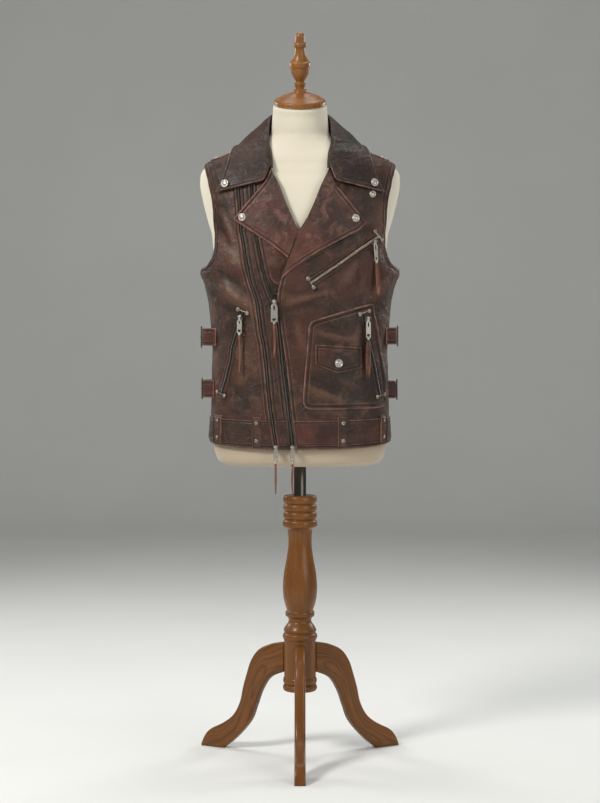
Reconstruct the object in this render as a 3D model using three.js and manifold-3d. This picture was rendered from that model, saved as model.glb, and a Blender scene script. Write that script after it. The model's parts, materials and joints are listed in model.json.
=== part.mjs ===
// A leather biker vest worn by a dress form on a turned wooden tripod stand.
// Millimetres, +Z up, the front faces -Y, the floor is z = 0.
import * as THREE from 'three';
import { mergeVertices } from 'three/addons/utils/BufferGeometryUtils.js';
import Module from 'manifold-3d';

const wasm = await Module();
wasm.setup();

// Driving sizes of the leather
const SEAM = 0.3;              // clear gap between two pieces
const HIDE = 2;                // thickness of a body panel
const PATCH_INNER = 3.3;       // lift of a piece that lies on a panel
const PATCH_OUTER = 5.0;
const OVER_INNER = 6.2;        // lift of a piece that lies on such a piece
const OVER_OUTER = 7.8;
const HEM_Z = 680;
const BELT_LOW = 687;
const BELT_TOP = 734;
const BINDING_WIDTH = 8;
const ZIP_HALF = 3.6;          // half of a zip's chain and tape that shows

// Driving sizes of the stand
const COLUMN_TOP = 564;
const COLUMN_BOTTOM = 145;
const POLE_RADIUS = 13.2;
const BORE_RADIUS = 13.6;
const BORE_BOTTOM = 296;
const POLE_BOTTOM = 340;
const POLE_TOP = 699;
const FORM_BOTTOM = 631;
const SOCKET_TOP = 700;
const TURNED_SIDES = 14;
const LEG_REACH = 246;
const LEG_THICK = 23;
const NECK_TILT = THREE.MathUtils.degToRad(17.5);
const CAP_CENTRE = new THREE.Vector3(0, -28, 1389.9);

// The front foot reaches further than the two rear ones, so the axis stands back from the origin.
const REAR_REACH = LEG_REACH * Math.cos(Math.PI / 3) + LEG_THICK / 2 * Math.sin(Math.PI / 3);
const AXIS_Y = (LEG_REACH - REAR_REACH) / 2;

// A table is a header line of column names and a line of numbers for each row.
function table(text) {
  const lines = text.trim().split('\n').map((line) => line.trim().split(/\s+/));
  const names = lines.shift();
  return lines.map((cells) => Object.fromEntries(cells.map((cell, i) => [names[i], Number(cell)])));
}

// A smooth curve through a table's rows that never overshoots them.
function smooth(rows, key, name) {
  const x = rows.map((row) => row[key]);
  const y = rows.map((row) => row[name]);
  const last = x.length - 1;
  const slope = x.slice(1).map((value, i) => (y[i + 1] - y[i]) / (value - x[i]));
  const tangent = x.map((value, i) => {
    if (i === 0) return slope[0];
    if (i === last) return slope[last - 1];
    const [before, after] = [slope[i - 1], slope[i]];
    return before * after <= 0 ? 0 : 2 * before * after / (before + after);
  });
  return (at) => {
    const value = Math.min(Math.max(at, x[0]), x[last]);
    let i = 0;
    while (i < last - 1 && value > x[i + 1]) i += 1;
    const width = x[i + 1] - x[i];
    const t = (value - x[i]) / width;
    const cubic = 2 * t ** 3 - 3 * t ** 2;
    return y[i] * (1 + cubic) - y[i + 1] * cubic
      + width * (tangent[i] * (t ** 3 - 2 * t ** 2 + t) + tangent[i + 1] * (t ** 3 - t ** 2));
  };
}

function straight(rows, key, name) {
  return (at) => {
    const value = Math.min(Math.max(at, rows[0][key]), rows.at(-1)[key]);
    const i = Math.max(1, rows.findIndex((row) => row[key] >= value));
    const [low, high] = [rows[i - 1], rows[i]];
    return low[name] + (high[name] - low[name]) * (value - low[key]) / (high[key] - low[key]);
  };
}

// A soft step from 0 at one value to 1 at another, rising or falling
function ease(from, to, value) {
  const t = THREE.MathUtils.clamp((value - from) / (to - from), 0, 1);
  return t * t * (3 - 2 * t);
}

function steps(from, to, count) {
  return Array.from({ length: count + 1 }, (_, i) => from + (to - from) * i / count);
}

// Level sections of the dress form: half width, depth in front and behind, centre, squareness, tilt
const FORM_ROWS = table(`
  z     half   front  back  centre  square  dip  tilt
  631   156    90     98    0       2.5     0    0
  634   166    97     106   0       2.5     0    0
  642   175    103    112   0       2.5     0    0
  671   183    108    116   0       2.4     0    0
  760   179    105    113   0       2.4     0    0
  870   170    97     97    0       2.4     0    0
  960   176    107    98    0       2.4     0    0
  1045  182    114    106   0       2.3     0    0
  1117  186.5  113    109   0       2.3     0    0
  1139  193    111    109   0       2.3     0    0
  1165  200    107    108   0       2.3     0    0
  1195  207    100    104   0       2.3     0    0
  1225  212    91     98    0       2.3     0    0
  1240  211.5  85     93    0       2.3     0    0
  1252  207.5  82     89    0       2.3     0    0
  1261  199.5  79     86    0       2.3     0    0
  1268  188.5  77     84    -1      2.25    0    0
  1278  163.5  73     79    -3      2.2     0    0
  1290  131.5  66.5   72    -5      2.1     0    0
  1303  96     59.5   62.5  -8      2       0    0
  1316  74     54.5   56.5  -10     2       0    0
  1330  63     52     52    -13     2       0    0.06
  1345  60     52     51    -17     2       0    0.14
  1373  57.5   51     50    -23     2       0    0.26
  1388  56     51     50    -28     2       0    0.315
  1390  54     49     48    -28     2       0    0.315
`);

// The same for the inner face of the vest; the hem dips in front
const VEST_ROWS = table(`
  z     half   front  back  centre  square  dip
  676   190    116    120   0       2.4     12.6
  700   188.5  117    121   0       2.4     10
  733   186.5  118    122   0       2.4     6
  767   185.5  118.5  122   0       2.4     3
  814   184.5  119    118   0       2.4     0
  870   182.6  119.5  110   0       2.4     0
  930   186.5  121    108   0       2.4     0
  957   189    122    109   0       2.4     0
  993   194    124    112   0       2.4     0
  1021  201.6  125    114   0       2.35    0
  1037  208    125    115   0       2.3     0
  1050  206    125    116   0       2.3     0
  1069  199    124.5  117   0       2.3     0
  1094  194.5  123    117   0       2.3     0
  1117  194    121    117   0       2.3     0
  1139  199    119    117   0       2.3     0
  1168  206    114.5  115   0       2.3     0
  1197  213    108    111   0       2.3     0
  1226  218    99     105   0       2.3     0
  1243  217    92.5   99.5  0       2.3     0
  1255  211.5  87.5   94.5  0       2.3     0
  1265  199    83.5   90    0       2.3     0
  1272  184    80.5   86.5  -1      2.25    0
  1282  158    75.5   80.5  -3      2.2     0
  1294  126    69.5   73.5  -5      2.1     0
  1307  97     64     67    -8      2       0
  1320  77     60     62    -10     2       0
  1334  70     58     58    -13     2       0
`);

// Large soft folds: a ridge or trough along a line, seen from the front or from behind
const FOLD_ROWS = table(`
  side  x1    z1    x2    z2    width  height
  1     -180  1170  -144  1040  20     3.2
  1     -160  1190  -135  1100  16     -1.6
  1     -170  1004  -112  962   17     3.6
  1     -172  960   -120  925   17     -1.8
  1     -8    1006  62    984   17     2.2
  -1    -130  1030  -50   965   26     3
  -1    130   1020  50    950   26     3
`);

function sections(rows) {
  const names = ['half', 'front', 'back', 'centre', 'square', 'dip'];
  return Object.fromEntries(names.map((name) => [name, smooth(rows, 'z', name)]));
}
const FORM = sections(FORM_ROWS);
FORM.tilt = smooth(FORM_ROWS, 'z', 'tilt');
const VEST = sections(VEST_ROWS);

// A point of a section: the angle runs from +X at 0 through the front at a quarter turn.
function onBody(body, angle, z) {
  const power = 2 / body.square(z);
  const across = Math.cos(angle);
  const along = Math.sin(angle);
  const x = body.half(z) * Math.sign(across) * Math.abs(across) ** power;
  const reach = Math.abs(along) ** power;
  const y = body.centre(z) + (along > 0 ? -body.front(z) : body.back(z)) * reach;
  const dip = along > 0 ? body.dip(z) * reach ** 1.5 : 0;
  return new THREE.Vector3(x, y, z - dip);
}

function normalAt(body, angle, z) {
  const turn = onBody(body, angle + 0.02, z).sub(onBody(body, angle - 0.02, z));
  const rise = onBody(body, angle, z + 1).sub(onBody(body, angle, z - 1));
  return turn.cross(rise).normalize().negate();
}

function foldLift(x, z, front) {
  let lift = 0;
  for (const fold of FOLD_ROWS) {
    if (fold.side !== (front ? 1 : -1)) continue;
    const dx = fold.x2 - fold.x1;
    const dz = fold.z2 - fold.z1;
    const t = ((x - fold.x1) * dx + (z - fold.z1) * dz) / (dx * dx + dz * dz);
    const near = THREE.MathUtils.clamp(t, 0, 1);
    const away = Math.hypot(x - fold.x1 - dx * near, z - fold.z1 - dz * near);
    lift += fold.height * Math.exp(-((away / fold.width) ** 2)) * (0.55 + 0.45 * Math.sin(Math.PI * near));
  }
  return lift;
}

// A point moved out from the vest's inner face
function onVest(angle, z, lift) {
  const point = onBody(VEST, angle, z);
  const folds = foldLift(point.x, z, Math.sin(angle) > 0);
  return point.addScaledVector(normalAt(VEST, angle, z), lift + folds);
}

function angleAt(x, z, front = true) {
  const share = THREE.MathUtils.clamp(x / VEST.half(z), -1, 1);
  const angle = Math.acos(Math.sign(share) * Math.abs(share) ** (VEST.square(z) / 2));
  return front ? angle : -angle;
}

const onFront = (x, z, lift) => onVest(angleAt(x, z), z, lift);

// The angle that stands a small distance in front of or behind the side line
function besideRidge(z, side, front, gap = SEAM / 2) {
  const depth = front ? VEST.front(z) : VEST.back(z);
  const turn = Math.asin((gap / depth) ** (VEST.square(z) / 2));
  const angle = side > 0 ? turn : Math.PI - turn;
  return front ? angle : -angle;
}

// How far a point stands off the vest's inner face, and the way out
function clearance(point) {
  const value = (p) => {
    const z = THREE.MathUtils.clamp(p.z, VEST_ROWS[0].z, VEST_ROWS.at(-1).z);
    const depth = p.y < VEST.centre(z) ? VEST.front(z) : VEST.back(z);
    const power = VEST.square(z);
    return (Math.abs(p.x) / VEST.half(z)) ** power + (Math.abs(p.y - VEST.centre(z)) / depth) ** power;
  };
  const here = value(point);
  const slope = new THREE.Vector3(...['x', 'y', 'z'].map((axis) => {
    const ahead = point.clone();
    const behind = point.clone();
    ahead[axis] += 0.5;
    behind[axis] -= 0.5;
    return value(ahead) - value(behind);
  }));
  return { distance: (here - 1) / slope.length(), out: slope.normalize() };
}

function standOff(point, lift) {
  const moved = point.clone();
  for (let i = 0; i < 4; i += 1) {
    const { distance, out } = clearance(moved);
    if (distance >= lift) break;
    moved.addScaledVector(out, lift - distance);
  }
  return moved;
}

// Closed meshes
function solid(points, triangles) {
  const geometry = new THREE.BufferGeometry();
  const flat = points.flatMap((p) => [p.x, p.y, p.z]);
  let volume = 0;
  for (const [a, b, c] of triangles) volume += points[a].dot(points[b].clone().cross(points[c]));
  const faces = volume < 0 ? triangles.map(([a, b, c]) => [a, c, b]) : triangles;
  geometry.setAttribute('position', new THREE.Float32BufferAttribute(flat, 3));
  geometry.setIndex(faces.flat());
  geometry.computeVertexNormals();
  return geometry;
}

// A wall between two grids of points, closed along its four edges
function wall(outer, inner) {
  const rows = outer.length;
  const columns = outer[0].length;
  const points = [...outer.flat(), ...inner.flat()];
  const shift = rows * columns;
  const at = (r, c) => r * columns + c;
  const triangles = [];
  const quad = (a, b, c, d) => triangles.push([a, b, c], [a, c, d]);
  for (let r = 0; r < rows - 1; r += 1) {
    for (let c = 0; c < columns - 1; c += 1) {
      quad(at(r, c), at(r, c + 1), at(r + 1, c + 1), at(r + 1, c));
      quad(shift + at(r, c), shift + at(r + 1, c), shift + at(r + 1, c + 1), shift + at(r, c + 1));
    }
    quad(at(r, 0), at(r + 1, 0), shift + at(r + 1, 0), shift + at(r, 0));
    const end = columns - 1;
    quad(at(r + 1, end), at(r, end), shift + at(r, end), shift + at(r + 1, end));
  }
  for (let c = 0; c < columns - 1; c += 1) {
    quad(at(0, c + 1), at(0, c), shift + at(0, c), shift + at(0, c + 1));
    quad(at(rows - 1, c), at(rows - 1, c + 1), shift + at(rows - 1, c + 1), shift + at(rows - 1, c));
  }
  return solid(points, triangles);
}

// Rings of points joined one to the next; open rings get flat ends, a closed chain gets none
function chain(rings, closed = false) {
  const count = rings[0].length;
  const points = rings.flat();
  const triangles = [];
  const last = closed ? rings.length : rings.length - 1;
  for (let r = 0; r < last; r += 1) {
    const next = (r + 1) % rings.length;
    for (let c = 0; c < count; c += 1) {
      const d = (c + 1) % count;
      triangles.push([r * count + c, r * count + d, next * count + d]);
      triangles.push([r * count + c, next * count + d, next * count + c]);
    }
  }
  if (!closed) {
    const top = (rings.length - 1) * count;
    for (let c = 1; c < count - 1; c += 1) {
      triangles.push([0, c + 1, c], [top, top + c, top + c + 1]);
    }
  }
  return solid(points, triangles);
}

function toManifold(geometry) {
  const bare = geometry.clone();
  bare.deleteAttribute('normal');
  bare.deleteAttribute('uv');
  const merged = mergeVertices(bare, 1e-4);
  return new wasm.Manifold(new wasm.Mesh({
    numProp: 3,
    vertProperties: new Float32Array(merged.attributes.position.array),
    triVerts: new Uint32Array(merged.index.array),
  }));
}

function fromManifold(body) {
  const mesh = body.getMesh();
  const geometry = new THREE.BufferGeometry();
  geometry.setAttribute('position', new THREE.BufferAttribute(mesh.vertProperties, 3));
  geometry.setIndex(new THREE.BufferAttribute(mesh.triVerts, 1));
  geometry.computeVertexNormals();
  return geometry;
}

const join = (pieces) => fromManifold(pieces.map(toManifold).reduce((sum, piece) => sum.add(piece)));

// A turned piece: radius against height, from the axis at one end to the axis at the other
function turned(rows, sides) {
  const points = rows.map((row) => new THREE.Vector2(row.r, row.z));
  if (THREE.ShapeUtils.area(points) < 0) points.reverse();
  return new THREE.LatheGeometry(points, sides).rotateX(Math.PI / 2);
}

const group = new THREE.Group();
group.position.y = AXIS_Y;

const FINISH = {
  leather: { color: 0x42322a, roughness: 0.55, metalness: 0 },
  redLeather: { color: 0x5a332b, roughness: 0.55, metalness: 0 },
  zipTape: { color: 0x17120f, roughness: 0.8, metalness: 0 },
  nickel: { color: 0x9a958c, roughness: 0.35, metalness: 1 },
  cloth: { color: 0xe8e2d2, roughness: 0.9, metalness: 0 },
  wood: { color: 0x824e23, roughness: 0.4, metalness: 0 },
  honeyWood: { color: 0xaa7341, roughness: 0.4, metalness: 0 },
  chrome: { color: 0xcfd2d4, roughness: 0.12, metalness: 1 },
};

function add(name, geometry, finish, parent = group) {
  const mesh = new THREE.Mesh(geometry, new THREE.MeshStandardMaterial(FINISH[finish]));
  mesh.name = name;
  parent.add(mesh);
  return mesh;
}

// Stand: turned column, three sabre legs and the steel pole
const COLUMN_PROFILE = table(`
  r     z
  35.2  562
  35.2  548
  32.4  546
  35.2  543.5
  35.2  532
  32.4  530
  35.2  527.5
  35.2  515
  32.4  513
  36.7  509
  36.7  497.5
  26.4  492
  25    472
  25.2  453
  29.4  425
  34.5  397
  36.9  368
  35.5  345
  32    330
  28    318
  30.9  314
  30.9  306
  25    300
  23.9  294.5
  27.7  289
  33.9  281
  33    272
  36.7  267
  36.7  257
  33.9  252
  33.9  175
  35.2  170
  35.2  162
  32.5  159
  36.2  155
  36.2  147
`);

function column() {
  const bore = [
    { r: 0, z: BORE_BOTTOM },
    { r: BORE_RADIUS, z: BORE_BOTTOM },
    { r: BORE_RADIUS, z: COLUMN_TOP },
  ];
  const rim = { r: 33, z: COLUMN_TOP };
  const foot = [{ r: 33, z: COLUMN_BOTTOM }, { r: 0, z: COLUMN_BOTTOM }];
  return turned([...bore, rim, ...COLUMN_PROFILE, ...foot], TURNED_SIDES);
}
add('column', column(), 'wood');

const LEG_UPPER = table(`
  r    z
  34.3 247
  72   239
  100  225
  119  200
  130  170
  139  141
  147  107
  164  77
  189  57
  223  39
  238  23
  246  5
  246  0
`);
const LEG_LOWER = table(`
  r    z
  186  0
  150  33
  122  67
  108  101
  94   136
  72   166
  34.3 183
`);

function leg() {
  const outline = [...LEG_UPPER, ...LEG_LOWER].map((row) => new THREE.Vector2(row.r, row.z));
  const depth = LEG_THICK;
  const board = new THREE.ExtrudeGeometry(new THREE.Shape(outline), { depth, bevelEnabled: false });
  return board.translate(0, 0, -LEG_THICK / 2).rotateX(Math.PI / 2);
}
const LEG_TURNS = { leg_front: -90, leg_right: 30, leg_left: 150 };
for (const [name, degrees] of Object.entries(LEG_TURNS)) {
  add(name, leg(), 'wood').rotation.z = THREE.MathUtils.degToRad(degrees);
}

function pole() {
  const rows = [
    { r: 0, z: POLE_BOTTOM }, { r: POLE_RADIUS, z: POLE_BOTTOM },
    { r: POLE_RADIUS, z: POLE_TOP }, { r: 0, z: POLE_TOP },
  ];
  return turned(rows, TURNED_SIDES);
}
add('pole', pole(), 'chrome');

// Dress form with a socket for the pole, and the turned neck cap with its finial
function dressForm() {
  const heights = FORM_ROWS.map((row) => row.z);
  const rings = heights.map((z) => steps(0, 2 * Math.PI, 22).slice(0, -1).map((angle) => {
    const point = onBody(FORM, angle, z);
    point.z += (point.y - FORM.centre(z)) * FORM.tilt(z);
    return point;
  }));
  const depth = SOCKET_TOP - FORM_BOTTOM;
  const socket = new THREE.CylinderGeometry(BORE_RADIUS, BORE_RADIUS, depth + 2, TURNED_SIDES);
  socket.rotateX(Math.PI / 2).translate(0, 0, FORM_BOTTOM + depth / 2 - 1);
  return fromManifold(toManifold(chain(rings)).subtract(toManifold(socket)));
}
add('dress_form', dressForm(), 'cloth');

const FINIAL_PROFILE = table(`
  r     z
  0     0.4
  52.5  0.4
  54.6  3
  54.6  8
  48    14
  36    20.5
  22    25
  15    27
  15    31
  10.5  35.5
  11.2  41
  11.2  46
  9     49
  14    58
  18.5  68
  20.4  78
  22.4  81
  22.4  89
  19    92
  12.5  103
  10.5  119
  12.9  122.5
  12.9  128.5
  10    131
  9     142
  5     150
  0     151.5
`);
const cap = add('neck_cap', turned(FINIAL_PROFILE, TURNED_SIDES), 'honeyWood');
cap.position.copy(CAP_CENTRE);
cap.rotation.x = NECK_TILT;

// Lines of the vest's front, seen from the front, against height
const ZIP_OUTER_LINE = table(`
  z     x
  676   -48
  720   -55
  758   -61
  827   -68
  884   -74.5
  914   -80.5
  970   -87
  990   -93.5
  1015  -102
  1048  -109
  1092  -116
  1123  -121
  1199  -127
  1240  -131
  1290  -134
`);
const TRACK_LINE = table(`
  z     x
  972   -52
  990   -61.5
  1009  -68
  1034  -75
  1062  -81
  1110  -89.5
  1206  -99.5
  1240  -102
  1306  -106
`);
const MAIN_LINE = table(`
  z     x
  676   -14.5
  703   -17.5
  747   -24
  778   -28
  813   -32.5
  856   -37
  914   -42.5
  950   -47
  972   -52
`);
const FRONT_EDGE_LINE = table(`
  z     x
  676   -7.5
  703   -10.5
  747   -17
  803   -23.5
  856   -30
  910   -38
  955   -43.5
  980   -46.5
  998   -44.3
  1020  -38.5
  1048  -28.8
  1072  -18.5
  1118  -2.8
`);
const NECK_LINE = table(`
  z     x
  1118  2.8
  1149  16
  1180  30
  1217  44.5
  1253  60
  1290  66
  1320  76
`);
const zipOuter = smooth(ZIP_OUTER_LINE, 'z', 'x');
const track = smooth(TRACK_LINE, 'z', 'x');
const mainZip = smooth(MAIN_LINE, 'z', 'x');
const frontEdge = smooth(FRONT_EDGE_LINE, 'z', 'x');
const neckLine = smooth(NECK_LINE, 'z', 'x');
const ZIP_TOP = 1238;          // above it, under the collar, the panels meet at a seam
const BREAK_Z = 1118;          // where the two fronts cross
const SLIDER_Z = 972;
const NECK_Z = 1318;
const zipGap = (z) => (z <= ZIP_TOP ? ZIP_HALF + SEAM : SEAM / 2);

// The armhole: the side's angle at which each panel ends, a band's width inside the bound edge
const ARMHOLE = table(`
  z       degrees
  1037    0
  1038.2  7
  1041.5  17
  1050    25.5
  1069    28.5
  1094    29.5
  1116    29.5
  1139    31
  1168    34
  1197    35.3
  1226    34.2
  1243    31.5
  1255    26.5
  1262.5  18.5
  1267.3  9
  1269    0
`);
const armhole = straight(ARMHOLE, 'z', 'degrees');
const ARMPIT_Z = ARMHOLE[0].z;
const SHOULDER_Z = ARMHOLE.at(-1).z;

// The outer edge of a panel on one side: side seam, armhole, then shoulder seam
function outerEdge(z, side, front) {
  const beside = besideRidge(z, side, front);
  if (z <= ARMPIT_Z || z >= SHOULDER_Z) return beside;
  const turn = Math.max(THREE.MathUtils.degToRad(armhole(z)), Math.abs(Math.sin(beside)));
  const angle = side > 0 ? turn : Math.PI - turn;
  return front ? angle : -angle;
}

const BODY_HEIGHTS = [HEM_Z, 734, 790, 850, 905, 945, 972, 995, 1016, ...ARMHOLE.map((row) => row.z)];
const TOP_HEIGHTS = [1279, 1290, 1304, NECK_Z];
const within = (low, high) => [low, ...BODY_HEIGHTS.filter((z) => z > low + 3 && z < high - 3), high];
const SEAM_HEIGHTS = [ZIP_TOP, ZIP_TOP + 1];
const belowSeam = (low) => within(low, ZIP_TOP).slice(0, -1);

// Angles between two others, spaced evenly along the cloth
function evenAngles(from, to, z, columns) {
  const fine = steps(from, to, 4 * columns);
  const places = fine.map((angle) => onBody(VEST, angle, z));
  const length = [0];
  places.slice(1).forEach((place, i) => length.push(length[i] + place.distanceTo(places[i])));
  const rows = fine.map((angle, i) => ({ angle, length: length[i] }));
  const angleOf = straight(rows, 'length', 'angle');
  return steps(0, length.at(-1), columns).map(angleOf);
}

// A piece of the vest between two edges, each an angle for every height
function piece(heights, from, to, columns, inner = 0, outer = HIDE) {
  const lift = (value, angle, z) => (typeof value === 'function' ? value(angle, z) : value);
  const angles = heights.map((z) => evenAngles(from(z), to(z), z, columns));
  const level = (value, z, row) => angles[row].map((angle) => onVest(angle, z, lift(value, angle, z)));
  const grid = (value) => heights.map((z, row) => level(value, z, row));
  return wall(grid(outer), grid(inner));
}

const clampX = (x, z, inset = 1) => THREE.MathUtils.clamp(x, inset - VEST.half(z), VEST.half(z) - inset);
const atX = (line) => (z) => angleAt(clampX(line(z), z), z);

// Body panels
function backPanel() {
  const from = (z) => outerEdge(z, 1, false);
  const to = (z) => outerEdge(z, -1, false);
  return piece([...BODY_HEIGHTS, ...TOP_HEIGHTS], from, to, 14);
}
add('back_panel', backPanel(), 'leather');

function leftFront() {
  const above = BODY_HEIGHTS.filter((z) => z > ZIP_TOP + 1);
  const heights = [...belowSeam(HEM_Z), ...SEAM_HEIGHTS, ...above, 1278];
  return piece(heights, (z) => outerEdge(z, -1, true), atX((z) => zipOuter(z) - zipGap(z)), 6);
}
add('left_front', leftFront(), 'leather');

function frontStrip() {
  const heights = [...belowSeam(HEM_Z), ...SEAM_HEIGHTS, 1262.5, 1278, 1288];
  const right = (z) => (z < SLIDER_Z ? mainZip(z) : track(z)) - zipGap(z);
  return piece(heights, atX((z) => zipOuter(z) + zipGap(z)), atX(right), 2);
}
add('front_strip', frontStrip(), 'leather');

// The part of the left front past the open zip; it runs behind the right front
function underlap() {
  const heights = [...belowSeam(SLIDER_Z + 14), ...SEAM_HEIGHTS, 1262.5, 1278, 1288, 1300];
  const right = (z) => (z < BREAK_Z ? frontEdge(z) + 14 * ease(BREAK_Z, BREAK_Z - 40, z) : -neckLine(z));
  const sunk = (angle, z) => {
    const x = onBody(VEST, angle, z).x;
    return -3.4 * ease(-34, -4, x - frontEdge(Math.min(z, BREAK_Z))) * ease(BREAK_Z + 10, BREAK_Z - 30, z);
  };
  const inner = (angle, z) => sunk(angle, z);
  const outer = (angle, z) => sunk(angle, z) + HIDE * (1 - 0.15 * ease(BREAK_Z, 1000, z));
  return piece(heights, atX((z) => track(z) + zipGap(z)), atX(right), 4, inner, outer);
}
add('underlap', underlap(), 'leather');

// The right front stands proud where it crosses the left one
const proud = (x, z) => 3.6 * ease(46, 4, x - frontEdge(Math.min(z, BREAK_Z)))
  * ease(960, 1010, z) * ease(1150, 1110, z);
function rightFront() {
  const heights = [...BODY_HEIGHTS, ...TOP_HEIGHTS];
  const inside = (z) => (z < BREAK_Z ? frontEdge(z) : neckLine(z));
  const rise = (angle, z) => proud(onBody(VEST, angle, z).x, z);
  return piece(heights, atX(inside), (z) => outerEdge(z, 1, true), 9, rise, (a, z) => rise(a, z) + HIDE);
}
add('right_front', rightFront(), 'leather');

// The armhole binding: a folded band along each armhole, outside the panels' cut edge
function binding(side) {
  const climb = ARMHOLE.map((row) => ({ z: row.z, turn: THREE.MathUtils.degToRad(row.degrees) }));
  const loop = [...climb, ...climb.slice(1, -1).reverse().map((row) => ({ z: row.z, turn: -row.turn }))];
  const place = loop.map(({ z, turn }) => {
    const angle = side > 0 ? turn : Math.PI - turn;
    return { edge: onBody(VEST, angle, z), out: normalAt(VEST, angle, z) };
  });
  const rings = place.map(({ edge, out }, i) => {
    const next = place[(i + 1) % place.length].edge;
    const previous = place[(i - 1 + place.length) % place.length].edge;
    const inward = next.clone().sub(previous).cross(out).normalize().multiplyScalar(side);
    const corner = (across, lift) => edge.clone().addScaledVector(inward, across).addScaledVector(out, lift);
    const far = SEAM + BINDING_WIDTH;
    return [corner(SEAM, -0.4), corner(SEAM, HIDE + 1), corner(far, HIDE + 0.4), corner(far, 0)];
  });
  return chain(rings, true);
}
add('armhole_binding_left', binding(-1), 'redLeather');
add('armhole_binding_right', binding(1), 'redLeather');

const ROW_SPACE = 6;           // least height of a row, and the most its ends may shift
const EDGE_STEP = 24;
// Outlines seen from the front, with round corners, cut into level rows
function rounded(rows) {
  const count = rows.length;
  return rows.flatMap((row, i) => {
    const corner = new THREE.Vector2(row.x, row.z);
    if (!row.r) return [corner];
    const before = new THREE.Vector2(rows[(i + count - 1) % count].x, rows[(i + count - 1) % count].z);
    const after = new THREE.Vector2(rows[(i + 1) % count].x, rows[(i + 1) % count].z);
    const start = corner.clone().add(before.sub(corner).normalize().multiplyScalar(row.r));
    const end = corner.clone().add(after.sub(corner).normalize().multiplyScalar(row.r));
    return new THREE.QuadraticBezierCurve(start, corner, end).getPoints(2);
  });
}

function rowEnds(outline, z) {
  const hits = [];
  outline.forEach((a, i) => {
    const b = outline[(i + 1) % outline.length];
    if ((a.y - z) * (b.y - z) > 0) return;
    if (a.y === b.y) hits.push(a.x, b.x);
    else hits.push(a.x + (b.x - a.x) * (z - a.y) / (b.y - a.y));
  });
  return [Math.min(...hits), Math.max(...hits)];
}

function patch(outline, columns, rows, inner, outer) {
  const low = Math.min(...outline.map((p) => p.y));
  const high = Math.max(...outline.map((p) => p.y));
  const wanted = [...outline.map((p) => p.y), ...steps(low, high, rows)].sort((a, b) => a - b);
  const heights = [];
  for (const z of wanted) {
    if (heights.length === 0 || z - heights.at(-1) > ROW_SPACE) heights.push(z);
  }
  heights[0] = low + 0.01;
  heights[heights.length - 1] = high - 0.01;
  const ends = new Map(heights.map((z) => [z, rowEnds(outline, z)]));
  for (let i = 1; i < heights.length; i += 1) {
    const [below, above] = [ends.get(heights[i - 1]), ends.get(heights[i])];
    const shift = Math.max(Math.abs(above[0] - below[0]), Math.abs(above[1] - below[1]));
    if (shift < EDGE_STEP || heights[i] - heights[i - 1] < ROW_SPACE) continue;
    const between = (heights[i] + heights[i - 1]) / 2;
    ends.set(between, rowEnds(outline, between));
    heights.splice(i, 0, between);
    i -= 1;
  }
  const from = (z) => angleAt(ends.get(z)[0], z);
  const to = (z) => angleAt(Math.max(ends.get(z)[1], ends.get(z)[0] + 1.5), z);
  return piece(heights, from, to, columns, inner, outer);
}

// Lapels: the fronts turned back; they stand off more towards their tips
const LAPEL_LEFT = table(`
  x       z
  -60     1247
  -43.5   1217
  -30     1180
  -16.5   1149
  -3.5    1118
  -12     1096
  -19.5   1072
  -24.5   1064
  -57.7   1090.5
  -93.7   1115
  -136    1145
  -73.7   1219
`);
const LAPEL_RIGHT = table(`
  x       z
  61      1247
  75.5    1212
  136     1138
  118     1121
  43      1079
  10      1059
  -24.7   1034
  -38     1019.5
  -29.5   1047
  -18.5   1072
  -2.8    1118
  16      1149
  30      1180
  44.5    1217
`);
const outlineOf = (rows) => rows.map((row) => new THREE.Vector2(row.x, row.z));
function lapelLift(x, z) {
  const fromFold = Math.abs(x) - Math.max(0, neckLine(Math.max(z, BREAK_Z)));
  return 2.7 + 3.4 * ease(0, 70, fromFold);
}
function lapel(outline, side) {
  const lift = (angle, z) => {
    const x = onBody(VEST, angle, z).x;
    return side < 0 ? lapelLift(x, z) : lapelLift(Math.max(x, 0), z) + proud(x, z) + 0.2;
  };
  return patch(outline, 5, 4, lift, (a, z) => lift(a, z) + HIDE);
}
add('lapel_left', lapel(outlineOf(LAPEL_LEFT), -1), 'leather');
add('lapel_right', lapel(outlineOf(LAPEL_RIGHT), 1), 'leather');

// Collar: roll line, outer edge and foot for stations from the back of the neck to the gorge
const COLLAR_ROWS = table(`
  rollX  rollY  rollZ  edgeX  edgeY  edgeZ   footX  footY  footZ
  0      45     1384   0      72     1312    0      48.5   1330
  23     42     1383   44     69     1310    25     45.5   1330
  43     31     1380   86     50     1305    48     33     1331
  56     13     1377   114    26     1303    63     14     1332
  61     -8     1372   131    -2     1304    69.5   -10    1334
  64     -28    1348   138    -28    1295    68     -29    1338
  65     -50    1318   143    -50    1283    67     -46    1314
  63.5   -73    1290   150    -70    1263    60     -67    1289
  61.5   -88    1270   161    -82    1233    57.5   -81    1267
  61     -99    1254   172    -90    1202    57     -92    1251
`);
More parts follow.
